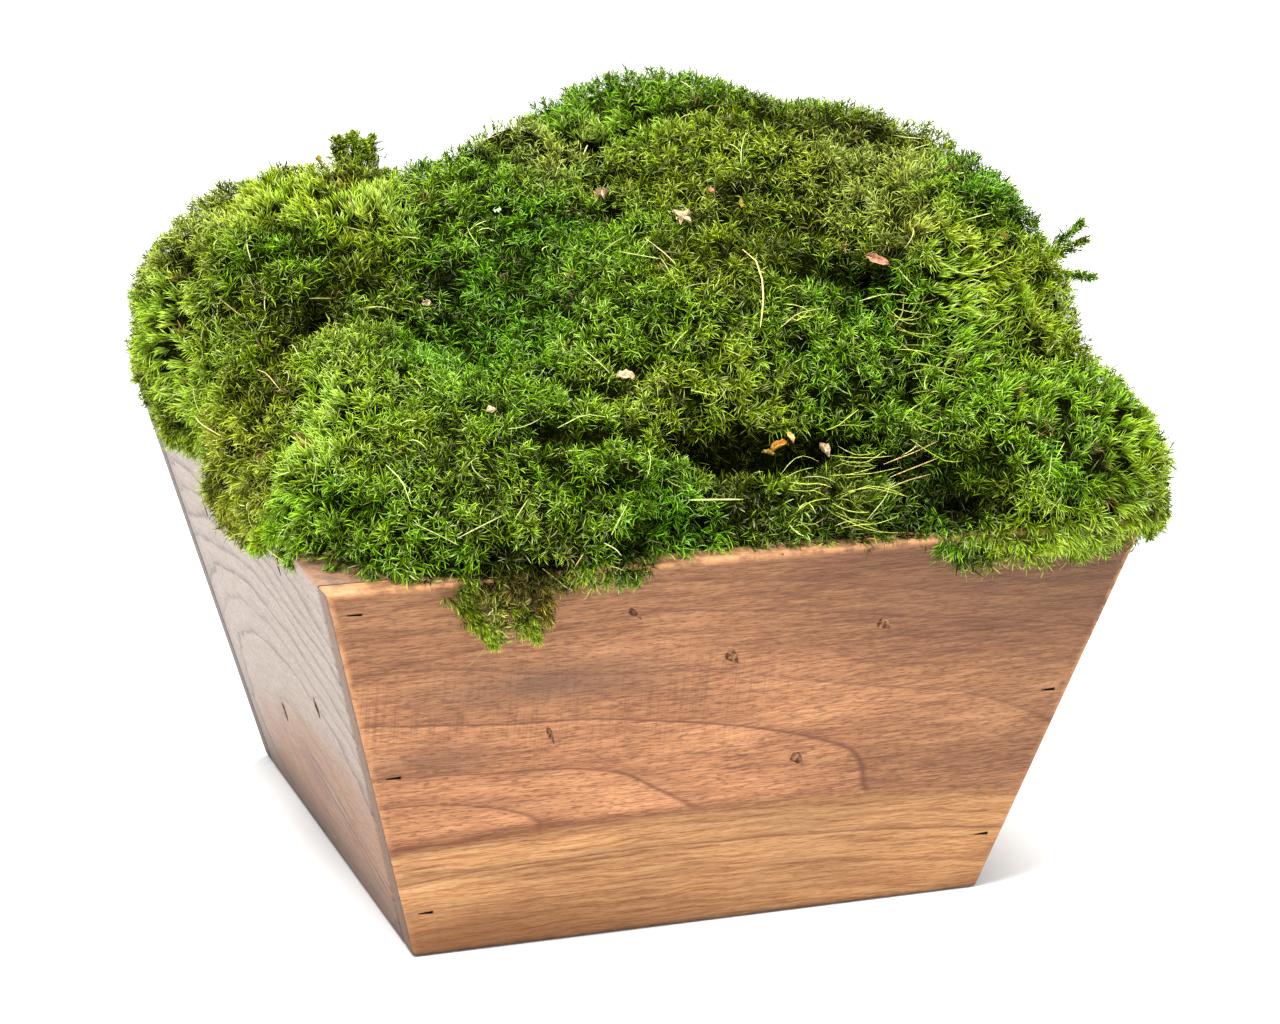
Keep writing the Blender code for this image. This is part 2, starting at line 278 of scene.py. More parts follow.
class Nodes:
    """Short calls that build one material's nodes. A value can be a number, a tuple or a Field."""

    def __init__(self, name, roughness, specular):
        self.material = bpy.data.materials.new(name)
        self.material.use_nodes = True
        self.tree = self.material.node_tree
        self.shader = self.tree.nodes["Principled BSDF"]
        self.shader.inputs["Roughness"].default_value = roughness
        self.shader.inputs["Specular IOR Level"].default_value = specular

    def put(self, socket, value):
        if isinstance(value, Field):
            self.tree.links.new(value.socket, socket)
        elif isinstance(value, tuple) and socket.type == "RGBA":
            socket.default_value = (*value, 1.0)
        else:
            socket.default_value = value

    def add(self, kind, **settings):
        node = self.tree.nodes.new(kind)
        for key, value in settings.items():
            setattr(node, key, value)
        return node

    def math(self, operation, *values):
        node = self.add("ShaderNodeMath", operation=operation)
        for socket, value in zip(node.inputs, values):
            self.put(socket, value)
        return Field(self, node.outputs[0])

    def coordinate(self, name):
        return Field(self, self.add("ShaderNodeTexCoord").outputs[name])

    def attribute(self, name):
        return Field(self, self.add("ShaderNodeAttribute", attribute_name=name).outputs["Color"])

    def place(self, scale=(1.0, 1.0, 1.0)):
        """The point on the object in millimetres, with each axis scaled."""
        mapping = self.add("ShaderNodeMapping")
        self.put(mapping.inputs["Vector"], self.coordinate("Object"))
        mapping.inputs["Scale"].default_value = tuple(part / MM for part in scale)
        return Field(self, mapping.outputs[0])

    def stretched(self, axis, along, across):
        """The place with one scale along the grain and another across it."""
        scale = [across, across, across]
        scale[axis] = along
        return self.place(tuple(scale))

    def split(self, vector):
        node = self.add("ShaderNodeSeparateXYZ")
        self.put(node.inputs[0], vector)
        return [Field(self, output) for output in node.outputs]

    def along(self, axis):
        """The x, y or z of the place in millimetres."""
        return self.split(self.place())[axis]

    def pair(self, first, second):
        """A place made of two fields."""
        node = self.add("ShaderNodeCombineXYZ")
        self.put(node.inputs[0], first)
        self.put(node.inputs[1], second)
        return Field(self, node.outputs[0])

    def noise(self, vector, scale, detail=2.0, roughness=0.5):
        node = self.add("ShaderNodeTexNoise")
        self.put(node.inputs["Vector"], vector)
        node.inputs["Scale"].default_value = scale
        node.inputs["Detail"].default_value = detail
        node.inputs["Roughness"].default_value = roughness
        return Field(self, node.outputs["Fac"])

    def mix(self, factor, first, second, blend="MIX"):
        node = self.add("ShaderNodeMix", data_type="RGBA", blend_type=blend)
        self.put(node.inputs[0], factor)
        self.put(node.inputs[6], first)
        self.put(node.inputs[7], second)
        return Field(self, node.outputs[2])

    def finish(self, colour, bump=None, bump_height=0.0001):
        self.put(self.shader.inputs["Base Color"], colour)
        if bump is not None:
            node = self.add("ShaderNodeBump")
            node.inputs["Distance"].default_value = bump_height
            self.put(node.inputs["Height"], bump)
            self.put(self.shader.inputs["Normal"], Field(self, node.outputs[0]))
        return self.material


def darker(colour, share):
    return tuple(part * share for part in colour)


def bed_material():
    """The dark litter and old stems under the leaves, near black as painted shade deep among the leaves."""
    nodes = Nodes("moss_bed", roughness=1.0, specular=0.0)
    litter = nodes.noise(nodes.place(), 0.9, detail=5.0, roughness=0.7)
    # Partly the litter's own colour, partly painted shade
    dark, brown, dry = (0.002, 0.003, 0.0005), (0.006, 0.008, 0.001), (0.045, 0.038, 0.008)
    colour = litter.ramp(((0.35, dark), (0.55, brown), (0.70, dry)))
    return nodes.finish(colour, bump=litter, bump_height=0.0008)


def moss_material():
    """The leaves' own tints, a little mottled."""
    nodes = Nodes("moss", roughness=0.8, specular=0.0)
    tint = nodes.attribute("tint")
    mottled = nodes.noise(nodes.place(), 0.9, detail=1.0)
    return nodes.finish(tint.tinted(mottled.range(0.3, 0.7, 0.8, 1.15)))


def dry_material():
    """The tints of threads and bits, mottled."""
    nodes = Nodes("dry_bits", roughness=0.75, specular=0.15)
    tint = nodes.attribute("tint")
    mottled = nodes.noise(nodes.place(), 1.6, detail=3.0)
    return nodes.finish(tint.tinted(mottled.range(0.35, 0.65, 0.45, 1.15)))


def soil_material():
    nodes = Nodes("soil", roughness=0.95, specular=0.2)
    crumbs = nodes.noise(nodes.place(), 0.5, detail=6.0, roughness=0.7)
    earth = ((0.3, (0.008, 0.005, 0.003)), (0.55, (0.035, 0.02, 0.012)), (0.75, (0.09, 0.055, 0.03)))
    return nodes.finish(crumbs.ramp(earth), bump=crumbs, bump_height=0.001)


def nail_material():
    # Dark steel, and near black as well: painted shade of the slots that the heads sit in
    nodes = Nodes("dark_steel", roughness=0.8, specular=0.1)
    rust = nodes.noise(nodes.place(), 1.5, detail=4.0)
    colour = rust.ramp(((0.40, (0.004, 0.003, 0.003)), (0.75, (0.030, 0.013, 0.008))))
    return nodes.finish(colour, bump=rust)


# Wood. Fields are in millimetres: x or y runs along a board, z is up

def growth_lines(ring, lines, thin=0.42, fade=4.0):
    """Dark lines where a field of rings has some values: a thin core, and a shade that fades outwards.

    Each line is a pair of the field's value and a strength from 0 to 1.
    """
    total = 0.0
    core = thin / (thin + fade)
    for value, strength in lines:
        across = ring.range(value - thin, value + fade)
        profile = across.ramp(((0.0, 0.0), (core, strength), (core * 2, strength * 0.4), (1.0, 0.0)))
        total = profile.maximum(total)
    return total


def rings(along, height, middle, stretch):
    """Oval rings about a point of a board's face, longer along the board."""
    aside = (along - middle) / stretch
    return (height * height + aside * aside).root()


def roof(along, height, middle, slope, rounding):
    """The height, raised by a slope on both sides of a place along the board: a field of low gables."""
    aside = along - middle
    return (aside * aside + rounding * rounding).root() * slope + height


def wood_texture(nodes, axis):
    """Fibres, short dark pores and slow shades of a board with its grain along an axis, each 0 to 1."""
    fibres = nodes.noise(nodes.stretched(axis, 0.090, 1.7), 1.0, detail=6.0, roughness=0.78)
    dashes = nodes.noise(nodes.stretched(axis, 0.40, 2.6), 1.0, detail=1.0, roughness=0.4)
    slow = nodes.noise(nodes.stretched(axis, 0.016, 0.09), 1.0, detail=3.0, roughness=0.55)
    return fibres.spread(), dashes.range(0.54, 0.66), slow.spread()


def wall_half(z):
    """Half of the planter's width at each height, in millimetres."""
    return (z - RIM / MM) * SLOPE + TOP_HALF / MM


def worn_edges(nodes, colour, axis, bare, end_grain):
    """A board's colour with end grain on its ends, a bare worn rim and arrises, and a foot darkened by dirt
    and painted contact shadow.
    """
    along, height = nodes.along(axis), nodes.along(2)
    facing = nodes.split(nodes.coordinate("Normal"))
    patches = nodes.noise(nodes.place(), 0.22, detail=4.0, roughness=0.65)
    to_rim = height - RIM / MM
    to_end = abs(along) - wall_half(height)
    arris = to_end.near_zero(ARRIS_REACH).maximum(to_rim.near_zero(RIM_REACH))
    arris = arris * patches.range(0.36, 0.54) * height.range(30.0, 100.0, 0.20, 1.0)
    colour = colour.toward(bare, arris)
    speckle = nodes.noise(nodes.stretched(2, 0.6, 2.2), 1.0, detail=4.0)
    ends = nodes.mix(speckle.range(0.38, 0.60), darker(end_grain, 0.55), end_grain)
    colour = colour.toward(ends, abs(facing[axis]).range(0.75, 0.85))
    top = nodes.mix(patches.range(0.40, 0.62), darker(bare, 0.48), bare)
    on_top = facing[2].range(0.75, 0.9) * to_rim.range(-3.0, -2.0) * speckle.range(0.35, 0.6, 0.55, 1.0)
    # Dirt and painted contact shadow along the foot
    foot = height.range(1.8, 0.2) * patches.range(0.3, 0.6, 0.4, 0.9)
    return colour.toward(top, on_top).toward(FOOT_DIRT_AND_SHADE, foot).tinted(WOOD_TONE)


ARRIS_REACH = 1.8
RIM_REACH = 2.0
FOOT_DIRT_AND_SHADE = (0.060, 0.032, 0.022)
WOOD_TONE = (0.810, 0.795, 0.755)
BARE_ORANGE = (0.660, 0.330, 0.155)
BARE_BROWN = (0.340, 0.180, 0.105)
END_GRAIN = (0.215, 0.118, 0.070)
GREY_END = (0.130, 0.096, 0.080)
GREY_EDGE = (0.210, 0.150, 0.120)
PORE_BUMP = -0.6
WOOD_BUMP_HEIGHT = 0.00012


def front_wood():
    """Warm brown with fine arches that open to the left, a smudge of saw marks, and a golden streaky foot."""
    nodes = Nodes("front_wood", roughness=0.55, specular=0.2)
    x, _, z = nodes.split(nodes.place())
    fibres, pores, slow = wood_texture(nodes, 0)
    wander = slow.swing(0.8)
    drift = nodes.noise(nodes.stretched(0, 0.020, 0.045), 1.0, detail=0.0).spread().swing(0.9)

    # Arches about a place at the left end, and gables above them
    squeeze = z.range(55.0, 75.0) * x.range(-22.0, -102.0, 0.0, 0.10)
    ring = rings(x, (z - 37.0) * (1.0 - squeeze), -100.0, 4.2) + drift
    arches = growth_lines(ring, ((12.7, 0.85), (21.8, 0.90), (34.9, 1.00), (41.5, 0.16), (48.9, 0.55)))
    gables = growth_lines(roof(x, z, -22.0, 0.155, 12.0) + wander, (
        (92.0, 0.22), (96.5, 0.36), (100.5, 0.30), (103.2, 0.70), (107.5, 0.34), (112.0, 0.42), (116.5, 0.30),
        (121.0, 0.36)), thin=0.45, fade=3.0)
    lines = arches.maximum(gables * ring.range(47.0, 51.0))
    body = (fibres.swing(0.29) + 0.57 + slow.swing(0.10)).ramp((
        (0.05, (0.140, 0.054, 0.029)), (0.32, (0.310, 0.130, 0.062)), (0.58, (0.505, 0.232, 0.109)),
        (0.90, (0.640, 0.330, 0.165))))
    body = body.toward((0.150, 0.052, 0.028), lines * 0.88)
    # Painted shade: darker towards the top and the right, most at the upper right corner
    corner = z.range(76.0, 98.0) * x.range(0.0, 55.0)
    shade = z.range(68.0, 112.0, 1.06, 0.60) * x.range(10.0, 105.0, 1.03, 0.62)
    shade = shade * corner.range(0.0, 1.0, 1.0, 0.72) * slow.range(0.0, 1.0, 0.90, 1.08)
    body = body.tinted(shade)

    # Short marks across the grain that the saw left, a grey smudge among them, and slanting scratches
    saw = nodes.noise(nodes.place((1.5, 0.05, 0.045)), 1.0, detail=3.0, roughness=0.6).spread()
    smudge = (saw * 3.5 + rings(x, z - 82.8, -54.0, 4.6)).range(2.5, 11.5, 0.80, 0.0)
    body = body.toward((0.115, 0.066, 0.052), smudge * fibres.range(0.0, 1.0, 0.7, 1.0))
    low_smudge = saw * 2.0 + rings(x, z - 63.0, -84.0, 4.0)
    body = body.toward((0.145, 0.068, 0.045), low_smudge.range(2.0, 8.0, 0.60, 0.0))
    sawn = saw.range(0.45, 0.95) * x.range(30.0, -5.0) * (z - 76.0).near_zero(24.0)
    body = body.toward((0.170, 0.080, 0.050), sawn * 0.42)
    slant = x * -0.155 + z
    hatch = nodes.noise(nodes.pair(x * 0.075, slant * 1.25), 1.0, detail=3.0, roughness=0.6).spread()
    hatched = hatch.range(0.45, 0.95) * x.range(-40.0, 15.0, 0.35, 1.0)
    body = body.toward((0.200, 0.092, 0.052), hatched * 0.42)

    # The foot, whose streaks sag a little towards both ends
    drop = (x + 22.0) / 70.0
    level = drop * drop * 2.6 + z + wander
    waves = nodes.noise(nodes.place((0.035, 0.05, 0.07)), 1.0, detail=2.0).spread()
    streak_place = nodes.pair(x * 0.022, waves * 1.6 + level)
    streaks = nodes.noise(streak_place, 0.75, detail=6.0, roughness=0.76).spread()
    streaks = streaks * 0.62 + fibres * 0.56 - 0.05
    foot = streaks.ramp((
        (0.05, (0.230, 0.094, 0.040)), (0.36, (0.430, 0.202, 0.084)), (0.60, (0.560, 0.292, 0.125)),
        (0.95, (0.650, 0.380, 0.185))))
    foot = foot.tinted(slow.range(0.0, 1.0, 0.80, 1.16))
    foot_lines = growth_lines(level, ((8.5, 0.40), (16.5, 0.50), (26.3, 0.95)), fade=2.5)
    foot = foot.toward((0.180, 0.066, 0.030), foot_lines * 0.8)
    low = z.range(20.0, 4.0) * x.range(10.0, -75.0, 0.25, 1.0)
    foot = foot.toward((0.235, 0.084, 0.030), low * 0.7)
    colour = body.toward(foot, level.range(39.5, 37.5))
    band = (level - 37.6).near_zero(3.6) * x.range(35.0, -45.0, 0.40, 1.10)
    colour = colour.toward((0.190, 0.066, 0.030), band * streaks.range(0.9, 0.4, 0.6, 1.0))
    colour = colour.toward((0.125, 0.050, 0.028), pores * level.range(34.0, 40.0, 0.25, 0.55))
    rubbed = rings(x, z - 112.6, 98.0, 7.0).range(1.8, 0.6) * fibres.range(0.2, 0.6)
    colour = colour.toward((0.620, 0.500, 0.420), rubbed)
    colour = worn_edges(nodes, colour, 0, BARE_ORANGE, END_GRAIN)
    return nodes.finish(colour, bump=pores * PORE_BUMP + fibres, bump_height=WOOD_BUMP_HEIGHT)


def left_wood():
    """Greyish beige, partly weathered wood and partly a painted sheen of grazing reflection, with slow arches
    of grain over a pinkish brown foot.
    """
    nodes = Nodes("left_wood", roughness=0.55, specular=0.35)
    _, y, z = nodes.split(nodes.place())
    fibres, pores, slow = wood_texture(nodes, 1)
    wander = slow.swing(1.6)
    lines = growth_lines(rings(y, z - 30.0, -12.0, 2.5) + wander, (
        (15.0, 0.30), (33.5, 0.70), (42.0, 0.45), (50.0, 0.80), (57.0, 0.65), (64.0, 0.80), (70.0, 0.55),
        (76.0, 0.70), (82.0, 0.50)), thin=0.8, fade=3.2)
    slanted = y * -0.22 + z + wander
    low_lines = growth_lines(slanted, ((27.0, 0.50), (31.0, 0.90), (35.5, 0.60)), thin=0.7, fade=2.4)
    lines = lines.maximum(low_lines * y.range(4.0, -12.0))
    tone = lines * -0.80 + 0.68 + fibres.swing(0.24)
    # The grey is partly weathered wood and partly painted sheen
    grey_and_sheen = tone.ramp((
        (0.05, (0.105, 0.070, 0.052)), (0.45, (0.245, 0.184, 0.150)), (0.85, (0.372, 0.294, 0.252))))
    brown = tone.ramp((
        (0.05, (0.085, 0.030, 0.014)), (0.45, (0.225, 0.096, 0.044)), (0.85, (0.348, 0.184, 0.102))))
    depth = (y * -0.38 + 42.4).minimum(46.0) + slow.swing(5.0) - z
    depth = depth - rings(y, z - 24.0, -28.0, 1.8).range(3.0, 8.0, 14.0, 0.0)
    colour = grey_and_sheen.toward(brown, depth.range(-14.0, 12.0))
    colour = colour.toward((0.100, 0.066, 0.052), pores * 0.50)
    stain = rings(y, z - 28.0, -8.0, 2.4) + fibres.swing(3.0)
    colour = colour.toward((0.150, 0.066, 0.044), stain.range(1.0, 9.0, 0.55, 0.0))
    # Darker towards the bottom: grime, and painted shade near the floor
    low = z.range(19.0, 2.0) * slow.range(0.0, 1.0, 0.60, 0.95)
    colour = colour.toward((0.075, 0.036, 0.026), low)
    to_back = wall_half(z) - y
    colour = colour.toward((0.105, 0.085, 0.078), to_back.range(22.0, 8.0, 0.0, 0.75))
    colour = worn_edges(nodes, colour, 1, BARE_BROWN, END_GRAIN)
    return nodes.finish(colour, bump=pores * PORE_BUMP + fibres, bump_height=WOOD_BUMP_HEIGHT)


def other_wood(name, axis, middle, stretch, base_height, dark, light, edge=BARE_ORANGE, end=END_GRAIN):
    """A board that the photograph doesn't show: arches of its own, in the same two woods."""
    nodes = Nodes(name, roughness=0.55, specular=0.2)
    along, z = nodes.along(axis), nodes.along(2)
    fibres, pores, slow = wood_texture(nodes, axis)
    ring = rings(along, z - base_height, middle, stretch) + slow.swing(2.0)
    lines = growth_lines(ring, (
        (9.0, 0.5), (18.0, 0.8), (29.0, 0.5), (37.0, 0.9), (47.0, 0.5), (55.0, 0.4),
        (66.0, 0.7), (75.0, 0.4)))
    tone = lines * -0.42 + 0.62 + fibres.swing(0.16) + slow.swing(0.14)
    middle_colour = tuple((low + high) / 2 for low, high in zip(dark, light))
    colour = tone.ramp(((0.05, dark), (0.50, middle_colour), (0.95, light)))
    colour = colour.toward(darker(dark, 0.6), pores * 0.5)
    colour = worn_edges(nodes, colour, axis, edge, end)
    return nodes.finish(colour, bump=pores * PORE_BUMP + fibres, bump_height=WOOD_BUMP_HEIGHT)


def dent_material():
    """Torn dark wood inside a dent."""
    nodes = Nodes("dent", roughness=0.9, specular=0.1)
    fibres = nodes.noise(nodes.place(), 0.8, detail=2.0).spread()
    torn = ((0.1, (0.060, 0.024, 0.013)), (0.6, (0.150, 0.068, 0.034)), (1.0, (0.26, 0.14, 0.07)))
    return nodes.finish(fibres.ramp(torn))


def dress(node, material):
    """Give a CAD node's object its material."""
    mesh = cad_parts[node].data
    mesh.materials.clear()
    mesh.materials.append(material)


class Dent(NamedTuple):
    """A small pit in a board's face, shaped like a drop whose point is down before it is tilted.

    Its place along the board and up, half its width, half its height and its depth are in millimetres.
    The tilt is in degrees, and the point says how narrow the drop gets, from 0 to 1.
    """

    along: float
    up: float
    width: float
    height: float
    depth: float
    tilt: float = 0.0
    point: float = 0.8


FRONT_DENTS = (
    Dent(-1.6, 85.0, 2.1, 3.1, 0.9, -42.0), Dent(41.6, 90.4, 2.2, 2.8, 0.6, -48.0),
    Dent(21.8, 50.2, 2.2, 3.1, 0.9, -42.0), Dent(-50.6, 66.2, 1.0, 3.7, 0.7, -24.0),
    Dent(-31.0, 101.4, 1.2, 3.6, 0.6, -48.0),
    Dent(9.0, 115.6, 2.4, 0.9, 1.2), Dent(-3.0, 115.7, 1.6, 0.7, 1.0), Dent(-94.0, 115.8, 2.6, 0.5, 1.0),
)
LEFT_DENTS = (
    Dent(-46.0, 60.5, 2.2, 3.6, 1.4, 4.0, 0.3), Dent(15.5, 38.0, 2.1, 3.4, 1.4, 4.0, 0.3),
    Dent(51.0, 91.3, 2.0, 3.0, 1.0, 6.0, 0.3), Dent(-53.0, 103.8, 1.6, 2.2, 1.0, 8.0, 0.3),
)


def dent_cutter(dents, side, material):
    """Rounded lumps that stick into a board's outer face, as one object.

    side is 0 for the left board, whose face looks along -X, and 1 for the front board.
    """
    tilt_of_face = math.atan(SLOPE)
    shape = bmesh.new()
    for dent in dents:
        out = -(TOP_HALF - SLOPE * (RIM - dent.up * MM))
        lump = bmesh.ops.create_icosphere(shape, subdivisions=2, radius=MM)["verts"]
        for vertex in lump:
            rough = 1.0 + 0.25 * noise.noise(vertex.co / MM * 1.3 + Vector((dent.along, dent.up, 0.0)))
            vertex.co *= rough
            vertex.co.x *= 1.0 - dent.point * max(0.4 - vertex.co.z / MM, 0.0) / 1.4
        scale = Matrix.Diagonal((dent.width, dent.depth, dent.height, 1.0))
        turn = Matrix.Rotation(math.radians(dent.tilt), 4, "Y")
        lean = Matrix.Rotation(tilt_of_face, 4, "X")
        place = Matrix.Translation((dent.along * MM, out - DENT_LIFT * dent.depth * MM, dent.up * MM))
        move = place @ lean @ turn @ scale
        if side == 0:
            move = Matrix(((0, 1, 0, 0), (1, 0, 0, 0), (0, 0, 1, 0), (0, 0, 0, 1))) @ move
        bmesh.ops.transform(shape, matrix=move, verts=lump)
    bmesh.ops.recalc_face_normals(shape, faces=shape.faces)
    mesh = bpy.data.meshes.new("dents")
    shape.to_mesh(mesh)
    shape.free()
    mesh.materials.append(material)
    return add_object("dents", mesh)


DENT_LIFT = 0.45


def pinch_slots(shape):
    """Narrow the ends of the nails' slots where they open in the front board's face."""
    nails = [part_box(name) for name in sorted(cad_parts) if name.startswith("brad_front")]
    for vertex in shape.verts:
        if vertex.co.y > -(TOP_HALF - SLOPE * (RIM - vertex.co.z)) + SLOT_DEPTH:
            continue
        for low, high in nails:
            middle = (low + high) / 2
            if abs(vertex.co.x - middle.x) < SLOT_REACH and abs(vertex.co.z - middle.z) < SLOT_REACH:
                kept = SLOT_LEFT_END if vertex.co.x < middle.x else SLOT_RIGHT_END
                vertex.co.z = middle.z + (vertex.co.z - middle.z) * kept
                vertex.co.y = -(TOP_HALF - SLOPE * (RIM - vertex.co.z))


SLOT_DEPTH = 0.0002
SLOT_REACH = 0.0027
SLOT_LEFT_END = 0.20
SLOT_RIGHT_END = 0.55


def dented_board(node, dents, side, wood, torn):
    """A copy of a wall board with dents cut into its outer face, in place of the plain one."""
    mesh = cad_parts[node].data.copy()
    shape = bmesh.new()
    shape.from_mesh(mesh)
    bmesh.ops.remove_doubles(shape, verts=shape.verts, dist=0.00001)
    if side == 1:
        pinch_slots(shape)
    shape.to_mesh(mesh)
    shape.free()
    mesh.materials.clear()
    mesh.materials.append(wood)
    piece = add_object("dented_" + node, mesh)
    cutter = dent_cutter(dents, side, torn)
    cut = piece.modifiers.new("dents", "BOOLEAN")
    cut.operation = "DIFFERENCE"
    cut.solver = "EXACT"
    cut.use_self = True
    cut.material_mode = "TRANSFER"
    cut.object = cutter
    bpy.context.view_layer.update()
    evaluated = piece.evaluated_get(bpy.context.evaluated_depsgraph_get())
    dented = bpy.data.meshes.new_from_object(evaluated)
    piece.modifiers.clear()
    piece.data = dented
    bpy.data.objects.remove(cutter)
    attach(piece, "root")
    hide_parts(node)


def dress_planter():
    torn, steel = dent_material(), nail_material()
    dented_board("board_front", FRONT_DENTS, 1, front_wood(), torn)
    dented_board("board_left", LEFT_DENTS, 0, left_wood(), torn)
    brown = (0.150, 0.065, 0.038), (0.560, 0.280, 0.145)
    greyer = (0.170, 0.110, 0.085), (0.450, 0.330, 0.260)
    dress("board_back", other_wood("back_wood", 0, 30.0, 3.6, 52.0, *brown, GREY_EDGE, GREY_END))
    dress("board_right", other_wood("right_wood", 1, -70.0, 4.0, 44.0, *greyer))
    dress("board_base", other_wood("base_wood", 0, 0.0, 5.0, -30.0, *brown))
    dress("soil", soil_material())
    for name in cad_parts:
        if name.startswith("brad_"):
            dress(name, steel)


# Moss

class Solid(NamedTuple):
    """A CAD node's triangles."""

    corners: np.ndarray
    triangles: np.ndarray


def read_solid(name):
    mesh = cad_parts[name].data
    mesh.calc_loop_triangles()
    corners = np.zeros(len(mesh.vertices) * 3)
    mesh.vertices.foreach_get("co", corners)
    triangles = np.zeros(len(mesh.loop_triangles) * 3, int)
    mesh.loop_triangles.foreach_get("vertices", triangles)
    return Solid(corners.reshape(-1, 3), triangles.reshape(-1, 3))


def make_tree(solids):
    """A search tree over several solids together."""
    corners = []
    triangles = []
    start = 0
    for solid in solids:
        corners.append(solid.corners)
        triangles.append(solid.triangles + start)
        start += len(solid.corners)
    return BVHTree.FromPolygons(np.concatenate(corners).tolist(), np.concatenate(triangles).tolist())


SOLIDS = {name: read_solid(name) for name in sorted(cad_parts)}
CLUMPS = [name for name in SOLIDS if name.startswith("clump_")]
HEAP = make_tree([SOLIDS[name] for name in CLUMPS])


def on_heap(pixel):
    """The point of the moss that a pixel of the photograph shows."""
    place, _, _, _ = HEAP.ray_cast(CAMERA_PLACE, photo_ray(pixel))
    return np.array(place) if place else None


def along_heap(pixels, step=6.0):
    """Points on the moss along a line of pixels."""
    points = []
    for (u0, v0), (u1, v1) in zip(pixels, pixels[1:]):
        count = max(1, round(math.hypot(u1 - u0, v1 - v0) / step))
        for part in np.linspace(0.0, 1.0, count, endpoint=False):
            points.append(on_heap((u0 + (u1 - u0) * part, v0 + (v1 - v0) * part)))
    points.append(on_heap(pixels[-1]))
    return np.array([point for point in points if point is not None])


class Crevice(NamedTuple):
    """A gap in the moss along pixels of the photograph, its half width and depth in metres."""

    width: float
    depth: float
    pixels: tuple


CREVICES = (
    Crevice(0.0045, 0.0080, ((326, 270), (309, 314), (270, 340), (228, 384))),
    Crevice(0.0040, 0.0070, ((168, 250), (190, 268))),
    Crevice(0.0058, 0.0055, ((808, 264), (845, 268), (882, 278))),
    Crevice(0.0055, 0.0095, ((688, 448), (760, 455), (800, 446), (837, 440))),
    Crevice(0.0036, 0.0075, ((534, 422), (603, 424), (672, 442), (717, 451))),
    Crevice(0.0050, 0.0055, ((860, 455), (925, 470), (950, 505))),
    Crevice(0.0040, 0.0060, ((506, 131), (590, 135), (636, 112), (700, 103))),
    Crevice(0.0045, 0.0070, ((947, 466), (997, 452))),
    Crevice(0.0045, 0.0070, ((951, 508), (993, 492))),
    Crevice(0.0035, 0.0060, ((1092, 464), (1126, 472))),
    Crevice(0.0030, 0.0050, ((850, 386), (903, 398))),
    Crevice(0.0050, 0.0050, ((430, 330), (470, 350), (520, 345))),
    Crevice(0.0040, 0.0060, ((490, 575), (530, 590), (545, 575))),
    Crevice(0.0035, 0.0050, ((330, 500), (372, 512))),
    Crevice(0.0035, 0.0050, ((560, 470), (600, 482), (640, 478))),
    Crevice(0.0035, 0.0050, ((640, 525), (700, 530))),
    Crevice(0.0035, 0.0050, ((880, 520), (930, 540))),
    Crevice(0.0040, 0.0050, ((885, 165), (888, 215))),
)

# Where the moss has each leaf colour: pixels of the photograph, and a radius in millimetres
TINTS = {
    "lime": (
        (175, 265, 14), (180, 330, 14), (165, 345, 10), (380, 195, 10), (350, 328, 8), (325, 445, 8),
        (350, 365, 6), (1100, 545, 8), (1135, 500, 10),
    ),
    "yellow_green": (
        (220, 210, 16), (290, 180, 14), (370, 240, 10), (145, 400, 10), (250, 370, 10), (400, 440, 10),
        (640, 400, 12), (730, 390, 14), (660, 130, 9), (860, 235, 8), (680, 120, 9), (740, 110, 8),
        (620, 170, 8), (960, 250, 12), (1020, 260, 12), (1050, 320, 12), (1150, 470, 14), (1040, 530, 12),
    ),
    # Painted light: these spots lift leaves that lie in shade
    "painted_glow": (
        (190, 228, 12), (168, 240, 10), (540, 145, 11), (575, 135, 9), (866, 150, 13), (886, 178, 13),
    ),
    "leaf": (
        (270, 250, 12), (320, 495, 10), (410, 400, 12), (350, 530, 14), (440, 220, 12), (480, 160, 10),
        (680, 90, 12), (560, 100, 10), (600, 250, 16), (650, 330, 14), (560, 400, 14), (820, 330, 14),
        (930, 180, 7), (960, 340, 12), (1000, 410, 12), (1100, 400, 14), (870, 400, 12), (600, 500, 14),
        (420, 460, 12), (540, 460, 14), (450, 560, 12), (620, 560, 10),
    ),
    "dull": (
        (300, 300, 10), (240, 300, 8), (400, 300, 12), (790, 110, 12), (760, 230, 12), (980, 480, 12),
        (850, 480, 14), (760, 500, 14), (480, 480, 14), (560, 540, 12),
    ),
    "straw_green": (
        (240, 430, 12), (235, 475, 10),
    ),
    "bright": (
        (335, 415, 14), (350, 395, 10), (330, 425, 8), (500, 140, 9), (620, 118, 8),
    ),
    "deep": (
        (470, 330, 18), (500, 260, 18), (600, 95, 16), (900, 290, 10), (1000, 180, 12), (1075, 475, 12),
        (690, 530, 12),
    ),
    "olive": (
        (700, 250, 14), (720, 150, 16), (795, 175, 12), (240, 500, 6),
    ),
    "pale_lime": ((895, 205, 8),),
    "yellow": (
        (910, 225, 8), (570, 590, 5), (650, 380, 5),
    ),
    # Partly darker moss, partly painted shade where the moss lies in shadow
    "dark": (
        (950, 150, 13), (910, 495, 12), (955, 515, 10), (940, 455, 8), (845, 262, 7), (800, 520, 10),
    ),
    "rust": (
        (310, 168, 4), (345, 178, 5), (200, 470, 6), (480, 600, 5),
    ),
    "brown": ((515, 590, 6),),
}

# The same for the sides that the photograph doesn't show, with places and radii in metres
HIDDEN_TINTS = (
    ((-0.115, 0.090, 0.150), 0.030, "yellow_green"), ((-0.060, 0.115, 0.140), 0.030, "leaf"),
    ((0.000, 0.110, 0.150), 0.030, "deep"), ((0.050, 0.110, 0.170), 0.030, "leaf"),
    ((0.110, 0.090, 0.150), 0.030, "leaf"), ((0.128, 0.030, 0.150), 0.030, "yellow_green"),
    ((0.128, -0.040, 0.140), 0.024, "olive"), ((0.020, 0.050, 0.205), 0.024, "leaf"),
)

